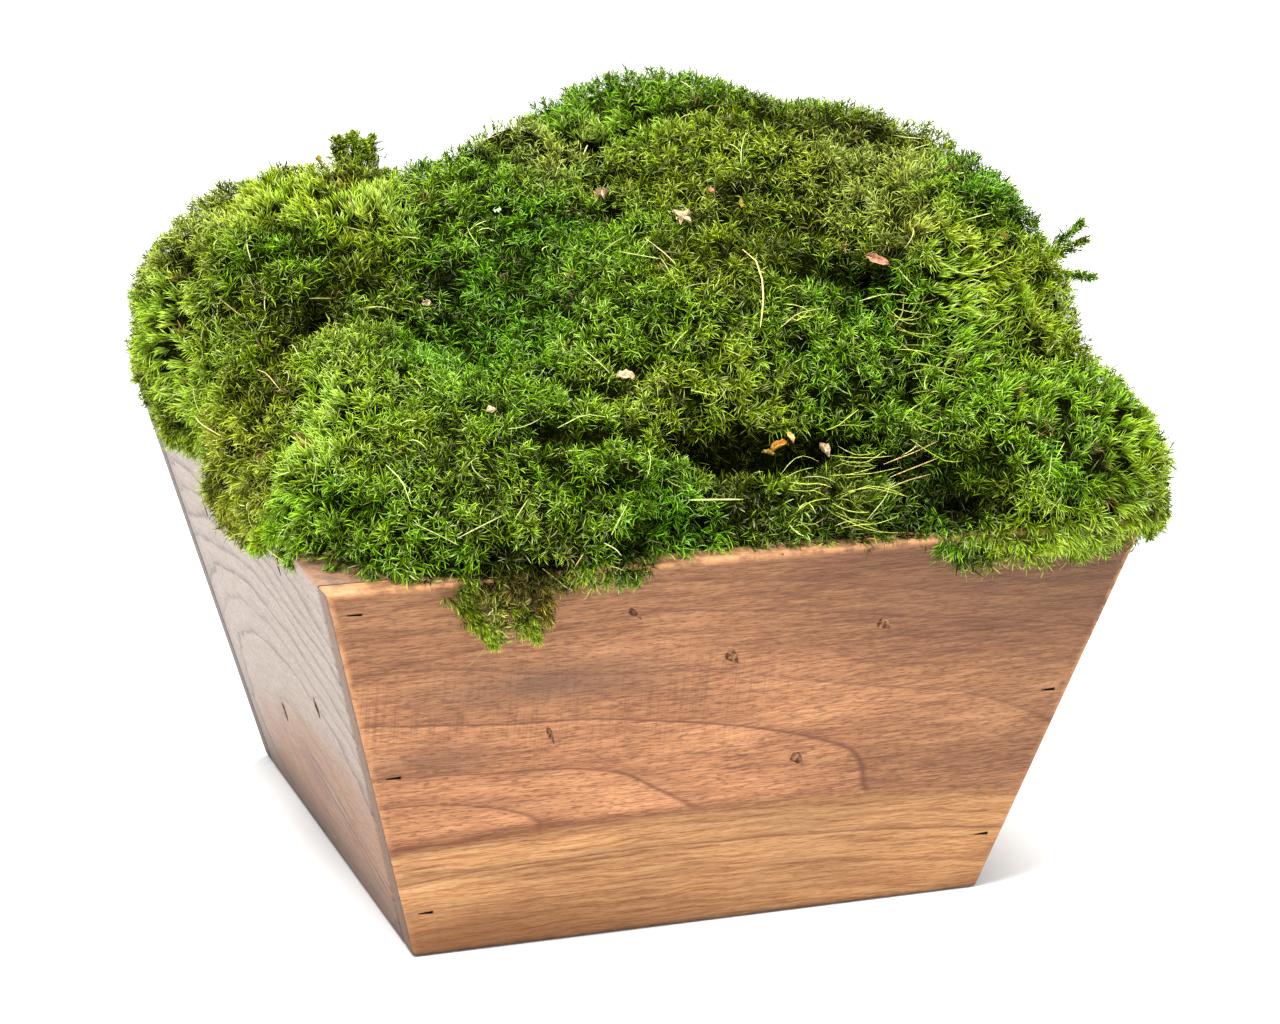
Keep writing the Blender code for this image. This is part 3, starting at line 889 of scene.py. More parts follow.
# Where the moss is soft and combed one way, as in plumes: a pixel and another that it is combed towards,
# a radius in millimetres and a strength
COMBS = (
    (190, 250, 155, 235, 13, 0.9), (190, 310, 145, 315, 13, 1.0), (200, 370, 150, 385, 13, 1.0),
    (220, 430, 190, 455, 10, 0.9), (250, 210, 215, 185, 13, 0.9), (295, 200, 275, 175, 12, 0.9),
    (340, 220, 310, 195, 12, 0.8), (245, 275, 215, 262, 10, 0.6), (240, 470, 215, 500, 9, 0.8),
    (395, 205, 370, 178, 11, 0.8), (450, 180, 430, 152, 9, 0.8), (515, 150, 495, 130, 9, 0.9),
    (575, 148, 560, 122, 9, 0.9), (625, 128, 612, 105, 8, 0.8), (370, 250, 350, 230, 10, 0.6),
    (350, 405, 325, 375, 12, 0.9), (320, 450, 292, 440, 10, 0.9), (300, 500, 275, 510, 9, 0.8),
    (880, 180, 925, 160, 9, 0.9), (905, 225, 950, 200, 9, 0.9), (950, 160, 990, 140, 12, 0.8),
    (1000, 205, 1040, 185, 11, 0.8), (1010, 250, 1060, 232, 12, 0.8), (940, 262, 990, 250, 10, 0.7),
    (914, 300, 1000, 280, 12, 0.7), (914, 350, 1000, 350, 14, 0.7), (1010, 320, 1060, 290, 13, 0.8),
    (900, 400, 960, 410, 10, 0.7), (820, 440, 920, 452, 11, 0.5), (820, 490, 925, 490, 11, 0.5),
    (840, 525, 900, 520, 9, 0.5), (1000, 400, 1040, 382, 11, 0.8), (1065, 400, 1115, 385, 12, 0.9),
    (1110, 440, 1155, 435, 12, 0.9), (1110, 500, 1155, 510, 12, 0.9), (1050, 540, 1075, 560, 10, 0.6),
    (1040, 450, 1075, 465, 10, 0.5), (700, 330, 730, 350, 12, 0.4),
)

# Where the moss stands out or in from its solid: a pixel, a radius and how far out, in metres
LIFTS = (
    ((150, 290), 0.022, 0.0040), ((164, 226), 0.012, 0.0085), ((184, 226), 0.011, 0.0040),
    ((312, 172), 0.011, 0.0026), ((390, 178), 0.010, 0.0004), ((515, 142), 0.011, 0.0082),
    ((925, 150), 0.015, 0.0095), ((212, 196), 0.016, -0.0060), ((850, 118), 0.012, -0.0108),
    ((620, 90), 0.012, 0.0016), ((1060, 310), 0.012, 0.0030), ((1035, 215), 0.012, -0.0035),
    ((1152, 490), 0.014, -0.0010), ((155, 355), 0.011, 0.0034), ((1130, 405), 0.014, 0.0038),
)

# How the moss grows. A shoot is a stem with leaves that curl, and shoots stand in domed tufts.
# A shoot's lower leaves are straight, and the upper ones are bent once and twice
SHOOT_SPACING = 0.00238
SHOOT_HEIGHT = 0.0050
LEAF_STEPS = (np.linspace(0.05, 0.40, 3), np.linspace(0.20, 0.80, 5), np.linspace(0.50, 1.0, 5))
LEAF_TURNS = 13
LEAF_LENGTH = 0.0045
LEAF_WIDTH = 0.00028
LOW_LEAF_LEAN = 66
LEAF_RISE = 36
LEAF_STRAY = 0.26
SOFT_SWEEP = 0.55
# Painted highlight: leaf tips are mixed towards a pale colour, most on the brightest leaves and in lit places
PAINTED_HIGHLIGHT = (0.95, 0.96, 0.48)
MOST_HIGHLIGHT = 0.85
GLARE_HIGHLIGHT = 0.45
FULL_LIGHT = 0.92
GOLDEN_ANGLE = 2.39996
STRAND_SHARE = 0.012
STRAND_POINTS = 6
STRAND_WIDTH = 0.00026
STRAND_STEP = (0.0010, 0.0024)
STRAND_BEND = 0.16
TOP_BELOW = 0.0022
TUFT_SPACING = 0.0070
TUFT_DOME = 0.0048
TUFT_TOP = 0.0018
TUFT_LEAN = 0.55
PIT_SPACING = 0.0075
PIT_DEPTH = 0.0085
PIT_LEAST = 0.12
# Painted shade in the hollows: the depth over which leaves darken, deeper where the moss is soft
LIGHT_DEPTH = 0.0032
SOFT_LIGHT_DEPTH = 0.0040
BROWN_SHARE = 0.008

# How shoots and leaves stray, and how their brightness varies. SHADE is a natural logarithm
SHOOT_STRAY = 0.16
TOP_UNEVEN = 0.0006
RIM_FLUSH = 0.8
DOWN = np.array((0.0, 0.0, -1.0))
DROOP = 0.10
RIM_DROOP = 0.8
SWIRL_SPACING = 0.012
SWIRL_STRAY = 0.20
MOTTLE = 0.30
MOTTLE_SPACING = 0.012
TUFT_CONTRAST = 0.6
SOFT_CONTRAST = 0.3
SHOOT_BRIGHTNESS = (0.7, 1.3)
WARM = (0.20, 0.0, -0.1)
WARM_SPACING = 0.006
WARM_STRAY = 0.2
SHADE = 0.37
SHADE_SPREAD = 0.72
# Painted shade: LOW_SHADE and SHADE_RISE darken a shoot's lower leaves, and FADE darkens each leaf towards
# its base
LOW_SHADE = 0.30
SHADE_RISE = 0.78
FADE = 1.8

# How far the leaves and the core keep from what is beside them, and how they pass over the rim
CLEARANCE = 0.00005
NEIGHBOUR = 0.0012
CORE_DEPTH = 0.0056
CORE_SLACK = 0.0008
CORE_RISE = 1.25
RIM_CLEARANCE = 0.0006
FRINGE_REACH = 0.0050
FRINGE_TOP = 0.0010
FRINGE_SPREAD = 0.0008
CORE_OVER_RIM = 0.0012
CORE_INSET = 0.0030
CORE_SPLAY = 0.8


class Sprig(NamedTuple):
    """Stems that stand out of a clump: where they leave it, their ends and how they bear leaves."""

    clump: str
    root: tuple
    tips: tuple
    feet: tuple
    leaf: float
    spread: float
    follow: float
    crowd: float
    colours: tuple


# The sprigs of part.py
SPRIGS = (
    Sprig("clump_left_back", (-0.0590, 0.0590, 0.1830),
          ((-0.0650, 0.0600, 0.1985), (-0.0598, 0.0600, 0.2000), (-0.0540, 0.0620, 0.1980)),
          ((-0.0620, 0.0590, 0.1830), (-0.0590, 0.0590, 0.1830), (-0.0560, 0.0600, 0.1830)),
          0.0030, 0.0024, 0.9, 5.0, ("olive", "yellow_green", "olive")),
    Sprig("clump_right", (0.1120, -0.0440, 0.1720),
          ((0.1250, -0.0500, 0.1850), (0.1270, -0.0480, 0.1790), (0.1262, -0.0550, 0.1695)),
          ((0.1140, -0.0450, 0.1740), (0.1150, -0.0440, 0.1725), (0.1150, -0.0470, 0.1690)),
          0.0030, 0.0010, 1.3, 2.2, ("leaf", "yellow_green", "leaf")),
    Sprig("clump_front_left", (-0.0655, -0.1175, 0.1150),
          ((-0.0703, -0.1150, 0.0972), (-0.0590, -0.1150, 0.0980), (-0.0560, -0.1160, 0.1035)),
          ((-0.0800, -0.1170, 0.1130), (-0.0680, -0.1170, 0.1130), (-0.0590, -0.1170, 0.1140)),
          0.0034, 0.0019, 3.0, 3.0, ("olive", "yellow_green", "rust")),
    Sprig("clump_front_left", (-0.1060, -0.0640, 0.1215),
          ((-0.1205, -0.0610, 0.1120), (-0.1210, -0.0660, 0.1150), (-0.1190, -0.0750, 0.1200)),
          ((-0.1090, -0.0640, 0.1220), (-0.1090, -0.0660, 0.1220), (-0.1090, -0.0690, 0.1225)),
          0.0042, 0.0022, 1.0, 2.5, ("leaf", "yellow_green", "leaf")),
)
SPRIG_STEP = 0.0005
SPRIG_ROOT_SHARE = 0.30
SPRIG_TIP_SHARE = 0.50
SPRIG_STEM = 0.0045
LIE_DEPTH = 0.0040


class Shoots(NamedTuple):
    """Many shoots, with an array of one row a shoot for each of their properties."""

    roots: np.ndarray
    axes: np.ndarray
    heights: np.ndarray
    sweeps: np.ndarray
    soft: np.ndarray
    colours: np.ndarray
    lights: np.ndarray
    lengths: np.ndarray


class Blades(NamedTuple):
    """Narrow blades of equal make: their corners, and a colour at each corner."""

    corners: np.ndarray
    tints: np.ndarray


def is_free(place, normal, others):
    """Whether nothing lies against a face, seen from a point on it."""
    return others.ray_cast(Vector(place + normal * CLEARANCE), Vector(normal), NEIGHBOUR)[0] is None


def on_sprig(point, clump, least_share, most_aside):
    """Whether a point of a clump is near a stem of its sprigs and far enough along it."""
    for sprig in SPRIGS:
        if sprig.clump != clump:
            continue
        for tip in sprig.tips:
            start = np.array(sprig.root)
            line = np.array(tip) - start
            share = np.dot(point - start, line) / np.dot(line, line)
            aside = np.linalg.norm(point - start - line * min(share, 1.0))
            if share > least_share and aside < most_aside:
                return True
    return False


def laid_on_planter(path):
    """Paths of leaves, with points that dip into the planter moved onto it, and which leaves show."""
    half = TOP_HALF - SLOPE * (RIM - path[..., 2]) + RIM_CLEARANCE / 2
    under = RIM + RIM_CLEARANCE / 2 - path[..., 2]
    beside = half - abs(path[..., :2]).max(axis=-1)
    dip = (under > 0) & (beside > 0)
    seen = ~(dip & (np.minimum(under, beside) > LIE_DEPTH)).any(axis=-1)
    aside = dip & (under > beside)
    path[..., 2] = np.where(dip & ~aside, RIM + RIM_CLEARANCE / 2, path[..., 2])
    for axis in (0, 1):
        nearest = aside & (abs(path[..., axis]) >= abs(path[..., 1 - axis]))
        path[..., axis] = np.where(nearest, np.sign(path[..., axis]) * half, path[..., axis])
    return path, seen


def shoot_places(clump, others, rng):
    """Points and directions over the part of a clump that isn't against its neighbours."""
    solid = SOLIDS[clump]
    first, second, third = (solid.corners[solid.triangles[:, i]] for i in range(3))
    facing = np.cross(second - first, third - first)
    areas = np.linalg.norm(facing, axis=1) / 2
    normals = unit(facing)
    reach = areas.cumsum()
    count = int(reach[-1] / SHOOT_SPACING ** 2)
    chosen = np.searchsorted(reach, (np.arange(count) + rng.random(count)) / count * reach[-1])
    chosen = np.minimum(chosen, len(areas) - 1)
    a, b = rng.random((2, count, 1))
    root = np.sqrt(a)
    points = first[chosen] * (1 - root) + second[chosen] * root * (1 - b) + third[chosen] * root * b
    normals = normals[chosen]
    free = [is_free(point, normal, others) and not on_sprig(point, clump, SPRIG_ROOT_SHARE, SPRIG_STEM)
            for point, normal in zip(points, normals)]
    return points[free], normals[free]


def smooth_normals(points, normals, reach=0.006):
    """Each point's normal, averaged with its neighbours', so that facets don't show."""
    result = np.empty_like(normals)
    for start in range(0, len(points), 500):
        part = points[start:start + 500]
        distance = np.linalg.norm(part[:, None] - points[None], axis=-1)
        weight = np.exp(-(distance / reach) ** 2)
        result[start:start + 500] = weight @ normals
    return unit(result)


class Tufts(NamedTuple):
    """For each point: the way from its tuft's middle, the distance squared, and a number for the tuft."""

    away: np.ndarray
    distance: np.ndarray
    number: np.ndarray


def tufts_at(points):
    away = np.empty_like(points)
    number = np.empty(len(points))
    for i, point in enumerate(points):
        middle = noise.voronoi(Vector(point) / TUFT_SPACING)[1][0]
        away[i] = point / TUFT_SPACING - np.array(middle)
        number[i] = noise.cell(middle * 9.7)
    return Tufts(away, (away ** 2).sum(axis=1), number)


def hollows(points, tufts):
    """How deep each point lies in the crevices, between the tufts and in the pits."""
    depth = np.zeros(len(points))
    for crevice in CREVICES:
        line = along_heap(crevice.pixels)
        if len(line) == 0:
            continue
        distance = np.linalg.norm(points[:, None] - line[None], axis=-1).min(axis=1)
        depth = np.maximum(depth, crevice.depth * np.exp(-(distance / crevice.width) ** 2))
    pits = np.clip(linear_noise(points, PIT_SPACING, 3.0) - PIT_LEAST, 0, 1)
    return depth + TUFT_DOME * tufts.distance + PIT_DEPTH * pits - TUFT_TOP


def lift_at(points):
    """How far the moss stands out from the smooth solid at each point."""
    total = np.zeros(len(points))
    for pixel, radius, lift in LIFTS:
        place = on_heap(pixel)
        if place is not None:
            total += lift * np.exp(-(np.linalg.norm(points - place, axis=1) / radius) ** 2)
    return total


def sinking(points, tufts):
    """How far the moss lies below the smooth solid at each point."""
    return hollows(points, tufts) - lift_at(points)


def tint_at(points):
    """The leaf colour at each point, mixed from the nearest tints."""
    total = np.zeros((len(points), 3))
    weights = np.full((len(points), 1), 1e-6)
    total += np.array(LEAF_COLOURS["leaf"]) * weights
    spots = [(on_heap((u, v)), radius / MM_PER_METRE, name)
             for name, places in TINTS.items() for u, v, radius in places]
    spots += [(np.array(place), radius, name) for place, radius, name in HIDDEN_TINTS]
    for place, radius, name in spots:
        if place is None:
            continue
        distance = np.linalg.norm(points - place, axis=1)
        weight = np.exp(-(distance / radius) ** 2)[:, None]
        total += weight * np.array(LEAF_COLOURS[name])
        weights += weight
    return total / weights


def near_rim(points):
    """1 at the rim's height, less above and below it."""
    return np.exp(-((points[:, 2] - RIM) / FRINGE_REACH) ** 2)[:, None]


def sweep_at(points, normals, rng):
    """The way that the leaves of each shoot curl, with its strength, and how soft and combed the moss is."""
    swirl = np.stack([linear_noise(points, SWIRL_SPACING, shift) for shift in (11.0, 23.0, 37.0)], -1)
    combed = np.zeros_like(swirl)
    for u0, v0, u1, v1, radius, strength in COMBS:
        start, end = on_heap((u0, v0)), on_heap((u1, v1))
        if start is None or end is None:
            continue
        distance = np.linalg.norm(points - (start + end) / 2, axis=1)
        combed += unit(end - start) * (strength * np.exp(-(distance * MM_PER_METRE / radius) ** 2))[:, None]
    soft = np.clip(np.linalg.norm(combed, axis=1), 0.0, 1.0)
    swirl += combed + rng.normal(0.0, SWIRL_STRAY, swirl.shape) + DOWN * DROOP
    swirl -= (swirl * normals).sum(-1, keepdims=True) * normals
    return swirl + near_rim(points) * DOWN * RIM_DROOP, soft


def cushion_shoots(clump, others, rng):
    """Shoots all over a clump, and more of them where it hangs over the rim."""
    points, normals = shoot_places(clump, others, rng)
    hanging = points[:, 2] < RIM + FRINGE_TOP
    beside = points[hanging] + rng.normal(0.0, FRINGE_SPREAD, (hanging.sum(), 3))
    points = np.concatenate([points, beside])
    normals = np.concatenate([normals, normals[hanging]])
    normals = smooth_normals(points, normals)
    tufts = tufts_at(points)
    depth = hollows(points, tufts)
    sunk = depth - lift_at(points)
    sweeps, soft = sweep_at(points, normals, rng)
    colours = tint_at(points)
    colours *= (1.0 + MOTTLE * linear_noise(points, MOTTLE_SPACING, 5.0))[:, None]
    colours *= 1.0 + ((TUFT_CONTRAST - SOFT_CONTRAST * soft) * (tufts.number - 0.5))[:, None]
    colours *= rng.uniform(*SHOOT_BRIGHTNESS, (len(points), 1))
    warm = linear_noise(points, WARM_SPACING, 9.0) + rng.normal(0.0, WARM_STRAY, len(points))
    colours *= 1.0 + np.clip(warm, -1, 1)[:, None] * np.array(WARM)
    colours[rng.random(len(points)) < BROWN_SHARE] = LEAF_COLOURS["brown"]
    # Painted shade: leaves darker the deeper they lie in crevices, pits and between tufts
    lights = np.exp(-np.clip(depth, 0.0, None) / (LIGHT_DEPTH + SOFT_LIGHT_DEPTH * soft))[:, None]
    colours *= lights
    lean = tufts.away - (tufts.away * normals).sum(-1, keepdims=True) * normals
    axes = unit(normals + TUFT_LEAN * lean + rng.normal(0.0, SHOOT_STRAY, normals.shape))
    heights = SHOOT_HEIGHT * rng.uniform(0.8, 1.15, len(points))
    below = (TOP_BELOW + sunk + rng.normal(0.0, TOP_UNEVEN, len(points)))[:, None]
    inset = below * (1.0 - RIM_FLUSH * near_rim(points))
    roots = points - normals * inset - axes * heights[:, None]
    lengths = LEAF_LENGTH * rng.uniform(0.85, 1.2, len(points)) * (1.0 + 0.15 * soft)
    return Shoots(roots, axes, heights, sweeps, soft[:, None, None], colours, lights, lengths)


def sprig_shoots(sprig, rng):
    """Short shoots one after another along the stems of a sprig, with painted shade that darkens them towards
    its foot.
    """
    roots = []
    axes = []
    colours = []
    for tip, foot, colour in zip(sprig.tips, sprig.feet, sprig.colours):
        start = np.array(foot)
        line = np.array(tip) - start
        length = np.linalg.norm(line)
        count = round(length / SPRIG_STEP * sprig.crowd)
        share = np.linspace(-0.1, 0.85, count)[:, None]
        stray = rng.normal(0.0, 1.0, (count, 3)) * sprig.spread * (1.0 - share)
        roots.append(start + line * share + stray)
        axes.append(unit(sprig.follow * line / length + rng.normal(0.0, 0.4, (count, 3))))
        # Painted shade: darker towards the sprig's foot
        brightness = (0.50 + 0.6 * share) * rng.uniform(0.6, 1.2, (count, 1))
        colours.append(np.array(LEAF_COLOURS[colour]) * brightness)
    roots = np.concatenate(roots)
    axes = np.concatenate(axes)
    colours = np.concatenate(colours)
    sweeps = axes * sprig.follow * 0.4 + rng.normal(0.0, 0.3, roots.shape) + np.array((0.0, 0.0, -0.15))
    heights = np.full(len(roots), 0.0025)
    lights = np.full((len(roots), 1), 0.5)
    soft = np.zeros((len(roots), 1, 1))
    return Shoots(roots, axes, heights, sweeps, soft, colours, lights, np.full(len(roots), sprig.leaf))


def joined(groups):
    return Shoots(*(np.concatenate(parts) for parts in zip(*groups)))


def make_blades(paths, flats, widths, tints):
    """Blades along paths: a pair of corners at each point of a path but its last, which is the tip."""
    shape = np.interp(np.linspace(0.0, 1.0, paths.shape[1])[:-1], (0.0, 0.35, 1.0), (0.70, 1.0, 0.60))
    half = flats[:, None] * (widths[:, None] * shape / 2)[..., None]
    pairs = np.stack([paths[:, :-1] - half, paths[:, :-1] + half], 2).reshape(len(paths), -1, 3)
    corners = np.concatenate([pairs, paths[:, -1:]], 1)
    colours = np.concatenate([np.repeat(tints[:, :-1], 2, axis=1), tints[:, -1:]], 1)
    return Blades(corners, colours)


def grow_leaves(shoots, steps, bends, rng):
    """Leaves at the same steps up each shoot, from 0 to 1, each bent a number of times."""
    size = (len(shoots.roots), len(steps))
    axis = shoots.axes[:, None]
    step = np.broadcast_to(steps, size)
    side = unit(np.cross(axis, np.where(abs(axis[..., 2:]) > 0.9, (1.0, 0.0, 0.0), (0.0, 0.0, 1.0))))
    other = np.cross(axis, side)
    turn = step * LEAF_TURNS * GOLDEN_ANGLE + rng.random((size[0], 1)) * 2 * math.pi
    turn = turn + rng.normal(0.0, 0.3, size)
    out = np.cos(turn)[..., None] * side + np.sin(turn)[..., None] * other
    lean = np.radians(LOW_LEAF_LEAN - LEAF_RISE * step) + rng.normal(0.0, LEAF_STRAY, size)
    soft = shoots.soft
    heading = np.cos(lean)[..., None] * axis + np.sin(lean)[..., None] * out * (1.0 - 0.45 * soft)
    heading = unit(heading + SOFT_SWEEP * soft * shoots.sweeps[:, None])
    flat = unit(np.cross(heading, axis + rng.normal(0.0, 0.35, heading.shape)))
    length = shoots.lengths[:, None] * (1.0 - 0.25 * step) * rng.uniform(0.7, 1.2, size)
    curl = rng.uniform(0.5, 2.0, size)[..., None] / max(bends, 1) ** 0.5
    stray = 0.50 * out - 0.15 * axis + rng.normal(0.0, 0.50, heading.shape)
    way = shoots.sweeps[:, None] + stray * (1.0 - 0.55 * soft)
    path = [shoots.roots[:, None] + axis * (shoots.heights[:, None] * (0.25 + 0.75 * step))[..., None]]
    for _ in range(bends + 1):
        path.append(path[-1] + heading * (length / (bends + 1))[..., None])
        heading = unit(heading + curl * way)
    path = np.stack(path, 2)

    uneven = rng.normal(0.0, SHADE_SPREAD, size) * (1.0 - 0.30 * soft[..., 0])
    # Painted shade: a shoot's lower leaves are darker
    shade = np.exp(SHADE + uneven) * (LOW_SHADE + SHADE_RISE * step)
    shade = shade[..., None, None]
    leaf = shoots.colours[:, None, None] * shade
    glare = np.maximum(leaf.max(axis=-1, keepdims=True) / FULL_LIGHT, 1.0)
    leaf = leaf / glare
    # Painted shade: each leaf darker towards its base, less where the moss is soft
    low = (0.004 + 0.06 * step)[..., None, None] + 0.12 * soft[..., None]
    along = np.linspace(0.0, 1.0, bends + 2)[:, None]
    # Painted highlight: tips mixed towards a pale colour, more on bright leaves and where the moss is lit
    highlight = np.clip(rng.normal(-0.08, 0.45, size) * (0.4 + 0.6 * step), 0.0, MOST_HIGHLIGHT)[..., None, None]
    highlight = np.minimum(highlight + GLARE_HIGHLIGHT * (1.0 - 1.0 / glare), MOST_HIGHLIGHT)
    highlight = highlight * along * shoots.lights[:, None, None]
    tints = (leaf * (1.0 - highlight) + np.array(PAINTED_HIGHLIGHT) * highlight) * (low + (1.0 - low) * along ** FADE)
    path, seen = laid_on_planter(path)
    widths = LEAF_WIDTH * rng.uniform(0.7, 1.2, size)
    return make_blades(path[seen], flat[seen], widths[seen], tints[seen])


def grow_strands(shoots, rng):
    """Long pale threads that rise from a few of the shoots and bend back to the moss."""
    chosen = rng.random(len(shoots.roots)) < STRAND_SHARE
    axes = shoots.axes[chosen]
    count = len(axes)
    aside = unit(np.cross(axes, rng.normal(0.0, 1.0, axes.shape)))
    heading = unit(aside + rng.uniform(0.0, 0.5, (count, 1)) * axes)
    step = rng.uniform(*STRAND_STEP, (count, 1))
    turn = rng.normal(0.0, STRAND_BEND, axes.shape)
    path = [shoots.roots[chosen] + axes * (shoots.heights[chosen, None] + 0.0006)]
    for _ in range(STRAND_POINTS - 1):
        path.append(path[-1] + heading * step)
        heading = unit(heading - STRAND_BEND * axes + turn)
    path, seen = laid_on_planter(np.stack(path, 1))
    flats = unit(np.cross(aside, axes + rng.normal(0.0, 0.4, axes.shape)))
    shade = rng.uniform(0.35, 1.1, (count, 1, 1))
    tints = np.minimum(np.array(LEAF_COLOURS["thread"]) * shade * np.ones(path.shape), 0.95)
    widths = STRAND_WIDTH * rng.uniform(0.7, 1.3, count)
    return make_blades(path[seen], flats[seen], widths[seen], tints[seen])


def leaf_mesh(name, batches, core):
    """One mesh of a clump's core, which takes the second material, and all its blades."""
    core_corners, core_faces = core
    corners = [core_corners]
    tints = [np.zeros_like(core_corners)]
    loops = [core_faces.ravel()]
    sizes = [np.full(len(core_faces), 3)]
    start = len(core_corners)
    for batch in batches:
        blades, each, _ = batch.corners.shape
        first = start + np.arange(blades)[:, None] * each
        for pair in range(0, each - 3, 2):
            loops.append((first + pair + np.array((0, 1, 3, 2))).ravel())
            sizes.append(np.full(blades, 4))
        loops.append((first + each - 3 + np.array((0, 1, 2))).ravel())
        sizes.append(np.full(blades, 3))
        corners.append(batch.corners.reshape(-1, 3))
        tints.append(batch.tints.reshape(-1, 3))
        start += blades * each
    corners, tints, loops, sizes = (np.concatenate(parts) for parts in (corners, tints, loops, sizes))
    mesh = bpy.data.meshes.new(name)
    mesh.vertices.add(len(corners))
    mesh.vertices.foreach_set("co", corners.astype(np.float32).ravel())
    mesh.loops.add(len(loops))
    mesh.loops.foreach_set("vertex_index", loops.astype(np.int32))
    mesh.polygons.add(len(sizes))
    mesh.polygons.foreach_set("loop_start", np.concatenate([[0], sizes.cumsum()[:-1]]).astype(np.int32))
    in_core = np.arange(len(sizes)) < len(core_faces)
    mesh.polygons.foreach_set("material_index", in_core.astype(np.int32))
    mesh.update(calc_edges=True)
    add_tints(mesh, tints)
    return mesh


def over_planter(place):
    """The place, kept above the rim, and drawn in over it so that only leaves stand past the planter."""
    height = max(place.z, RIM + CORE_OVER_RIM)
    reach = TOP_HALF - CORE_INSET + CORE_SPLAY * (height - RIM)
    return Vector((min(max(place.x, -reach), reach), min(max(place.y, -reach), reach), height))


def clump_core(clump, others):
    """The clump's solid drawn in where it is free, so that the leaves stand on it."""
    shape = bmesh.new()
    shape.from_mesh(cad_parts[clump].data)
    bmesh.ops.remove_doubles(shape, verts=shape.verts, dist=0.00002)
    sprigs = [vertex for vertex in shape.verts
              if on_sprig(np.array(vertex.co), clump, SPRIG_TIP_SHARE, SPRIG_STEM)]
    bmesh.ops.delete(shape, geom=sprigs, context="VERTS")
    bmesh.ops.holes_fill(shape, edges=[edge for edge in shape.edges if edge.is_boundary])
    bmesh.ops.triangulate(shape, faces=shape.faces)
    shape.normal_update()
    outward = [Vector() for _ in shape.verts]
    for face in shape.faces:
        if is_free(np.array(face.calc_center_median()), np.array(face.normal), others):
            for vertex in face.verts:
                outward[vertex.index] += face.normal * face.calc_area()
    places = np.array([vertex.co for vertex in shape.verts])
    sunk = sinking(places, tufts_at(places))
    for vertex, normal, depth in zip(shape.verts, outward, sunk):
        if normal.length > 0:
            below = CORE_DEPTH + max(depth, 0.0) + CORE_RISE * min(depth + CORE_SLACK, 0.0)
            vertex.co = over_planter(vertex.co - normal.normalized() * below)
    corners = np.array([vertex.co for vertex in shape.verts])
    faces = np.array([[vertex.index for vertex in face.verts] for face in shape.faces])
    shape.free()
    return corners, faces


def make_clump(clump, materials, rng):
    """A cushion of leafy moss in place of its plain solid. Returns its triangles."""
    others = make_tree([solid for other, solid in SOLIDS.items() if other != clump])
    groups = [cushion_shoots(clump, others, rng)]
    groups += [sprig_shoots(sprig, rng) for sprig in SPRIGS if sprig.clump == clump]
    shoots = joined(groups)
    batches = [grow_leaves(shoots, steps, bends, rng) for bends, steps in enumerate(LEAF_STEPS)]
    batches.append(grow_strands(shoots, rng))
    mesh = leaf_mesh("moss_" + clump, batches, clump_core(clump, others))
    for material in materials:
        mesh.materials.append(material)
    piece = add_object(clump.replace("clump_", "moss_"), mesh)
    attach(piece, "root")
    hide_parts(clump)
    mesh.calc_loop_triangles()
    return len(mesh.loop_triangles)


# Dry threads and bits that lie on the moss

class Thread(NamedTuple):
    """A dry thread along pixels of the photograph."""

    pixels: tuple
    width: float
    colour: str


THREADS = (
    Thread(((744, 246), (758, 266), (764, 290), (764, 308), (760, 328)), 0.00050, "straw"),
    Thread(((684, 501), (712, 501), (741, 503)), 0.00055, "thread"),
    Thread(((459, 537), (486, 524), (513, 507)), 0.00036, "thread"),
    Thread(((516, 518), (527, 501)), 0.00034, "thread"),
    Thread(((611, 534), (628, 505)), 0.00034, "thread"),
    Thread(((603, 541), (616, 549), (624, 560)), 0.00032, "thread"),
    Thread(((566, 586), (576, 572), (585, 555)), 0.00034, "straw"),
    Thread(((545, 572), (568, 589)), 0.00030, "straw"),
    Thread(((414, 524), (436, 533), (460, 544)), 0.00032, "thread"),
    Thread(((615, 246), (638, 252), (661, 262)), 0.00032, "thread"),
    Thread(((645, 238), (663, 248), (676, 265)), 0.00032, "straw"),
    Thread(((242, 214), (246, 240), (252, 262)), 0.00030, "thread"),
    Thread(((218, 297), (232, 309), (246, 321)), 0.00034, "straw"),
    Thread(((286, 340), (296, 349), (303, 362)), 0.00030, "thread"),
    Thread(((255, 366), (268, 376), (280, 390)), 0.00034, "straw"),
    Thread(((195, 414), (206, 424), (222, 436)), 0.00034, "straw"),
    Thread(((860, 300), (884, 292), (906, 296)), 0.00032, "thread"),
    Thread(((893, 330), (900, 312), (902, 296)), 0.00030, "thread"),
    Thread(((780, 330), (796, 318), (822, 312)), 0.00034, "straw"),
    Thread(((560, 420), (585, 412), (610, 414)), 0.00030, "thread"),
    Thread(((388, 470), (404, 486), (412, 508)), 0.00030, "thread"),
    Thread(((940, 262), (960, 272), (985, 274)), 0.00034, "thread"),
    Thread(((884, 458), (912, 450), (938, 441)), 0.00032, "straw"),
    Thread(((890, 474), (914, 463), (937, 457)), 0.00032, "straw"),
    Thread(((878, 496), (903, 482), (927, 472)), 0.00030, "straw"),
    Thread(((872, 520), (884, 500), (890, 480)), 0.00030, "thread"),
)


class Wisps(NamedTuple):
    """Threads side by side: where the first and the last start, how far they run and how many there are."""

    first: tuple
    last: tuple
    run: tuple
    count: int


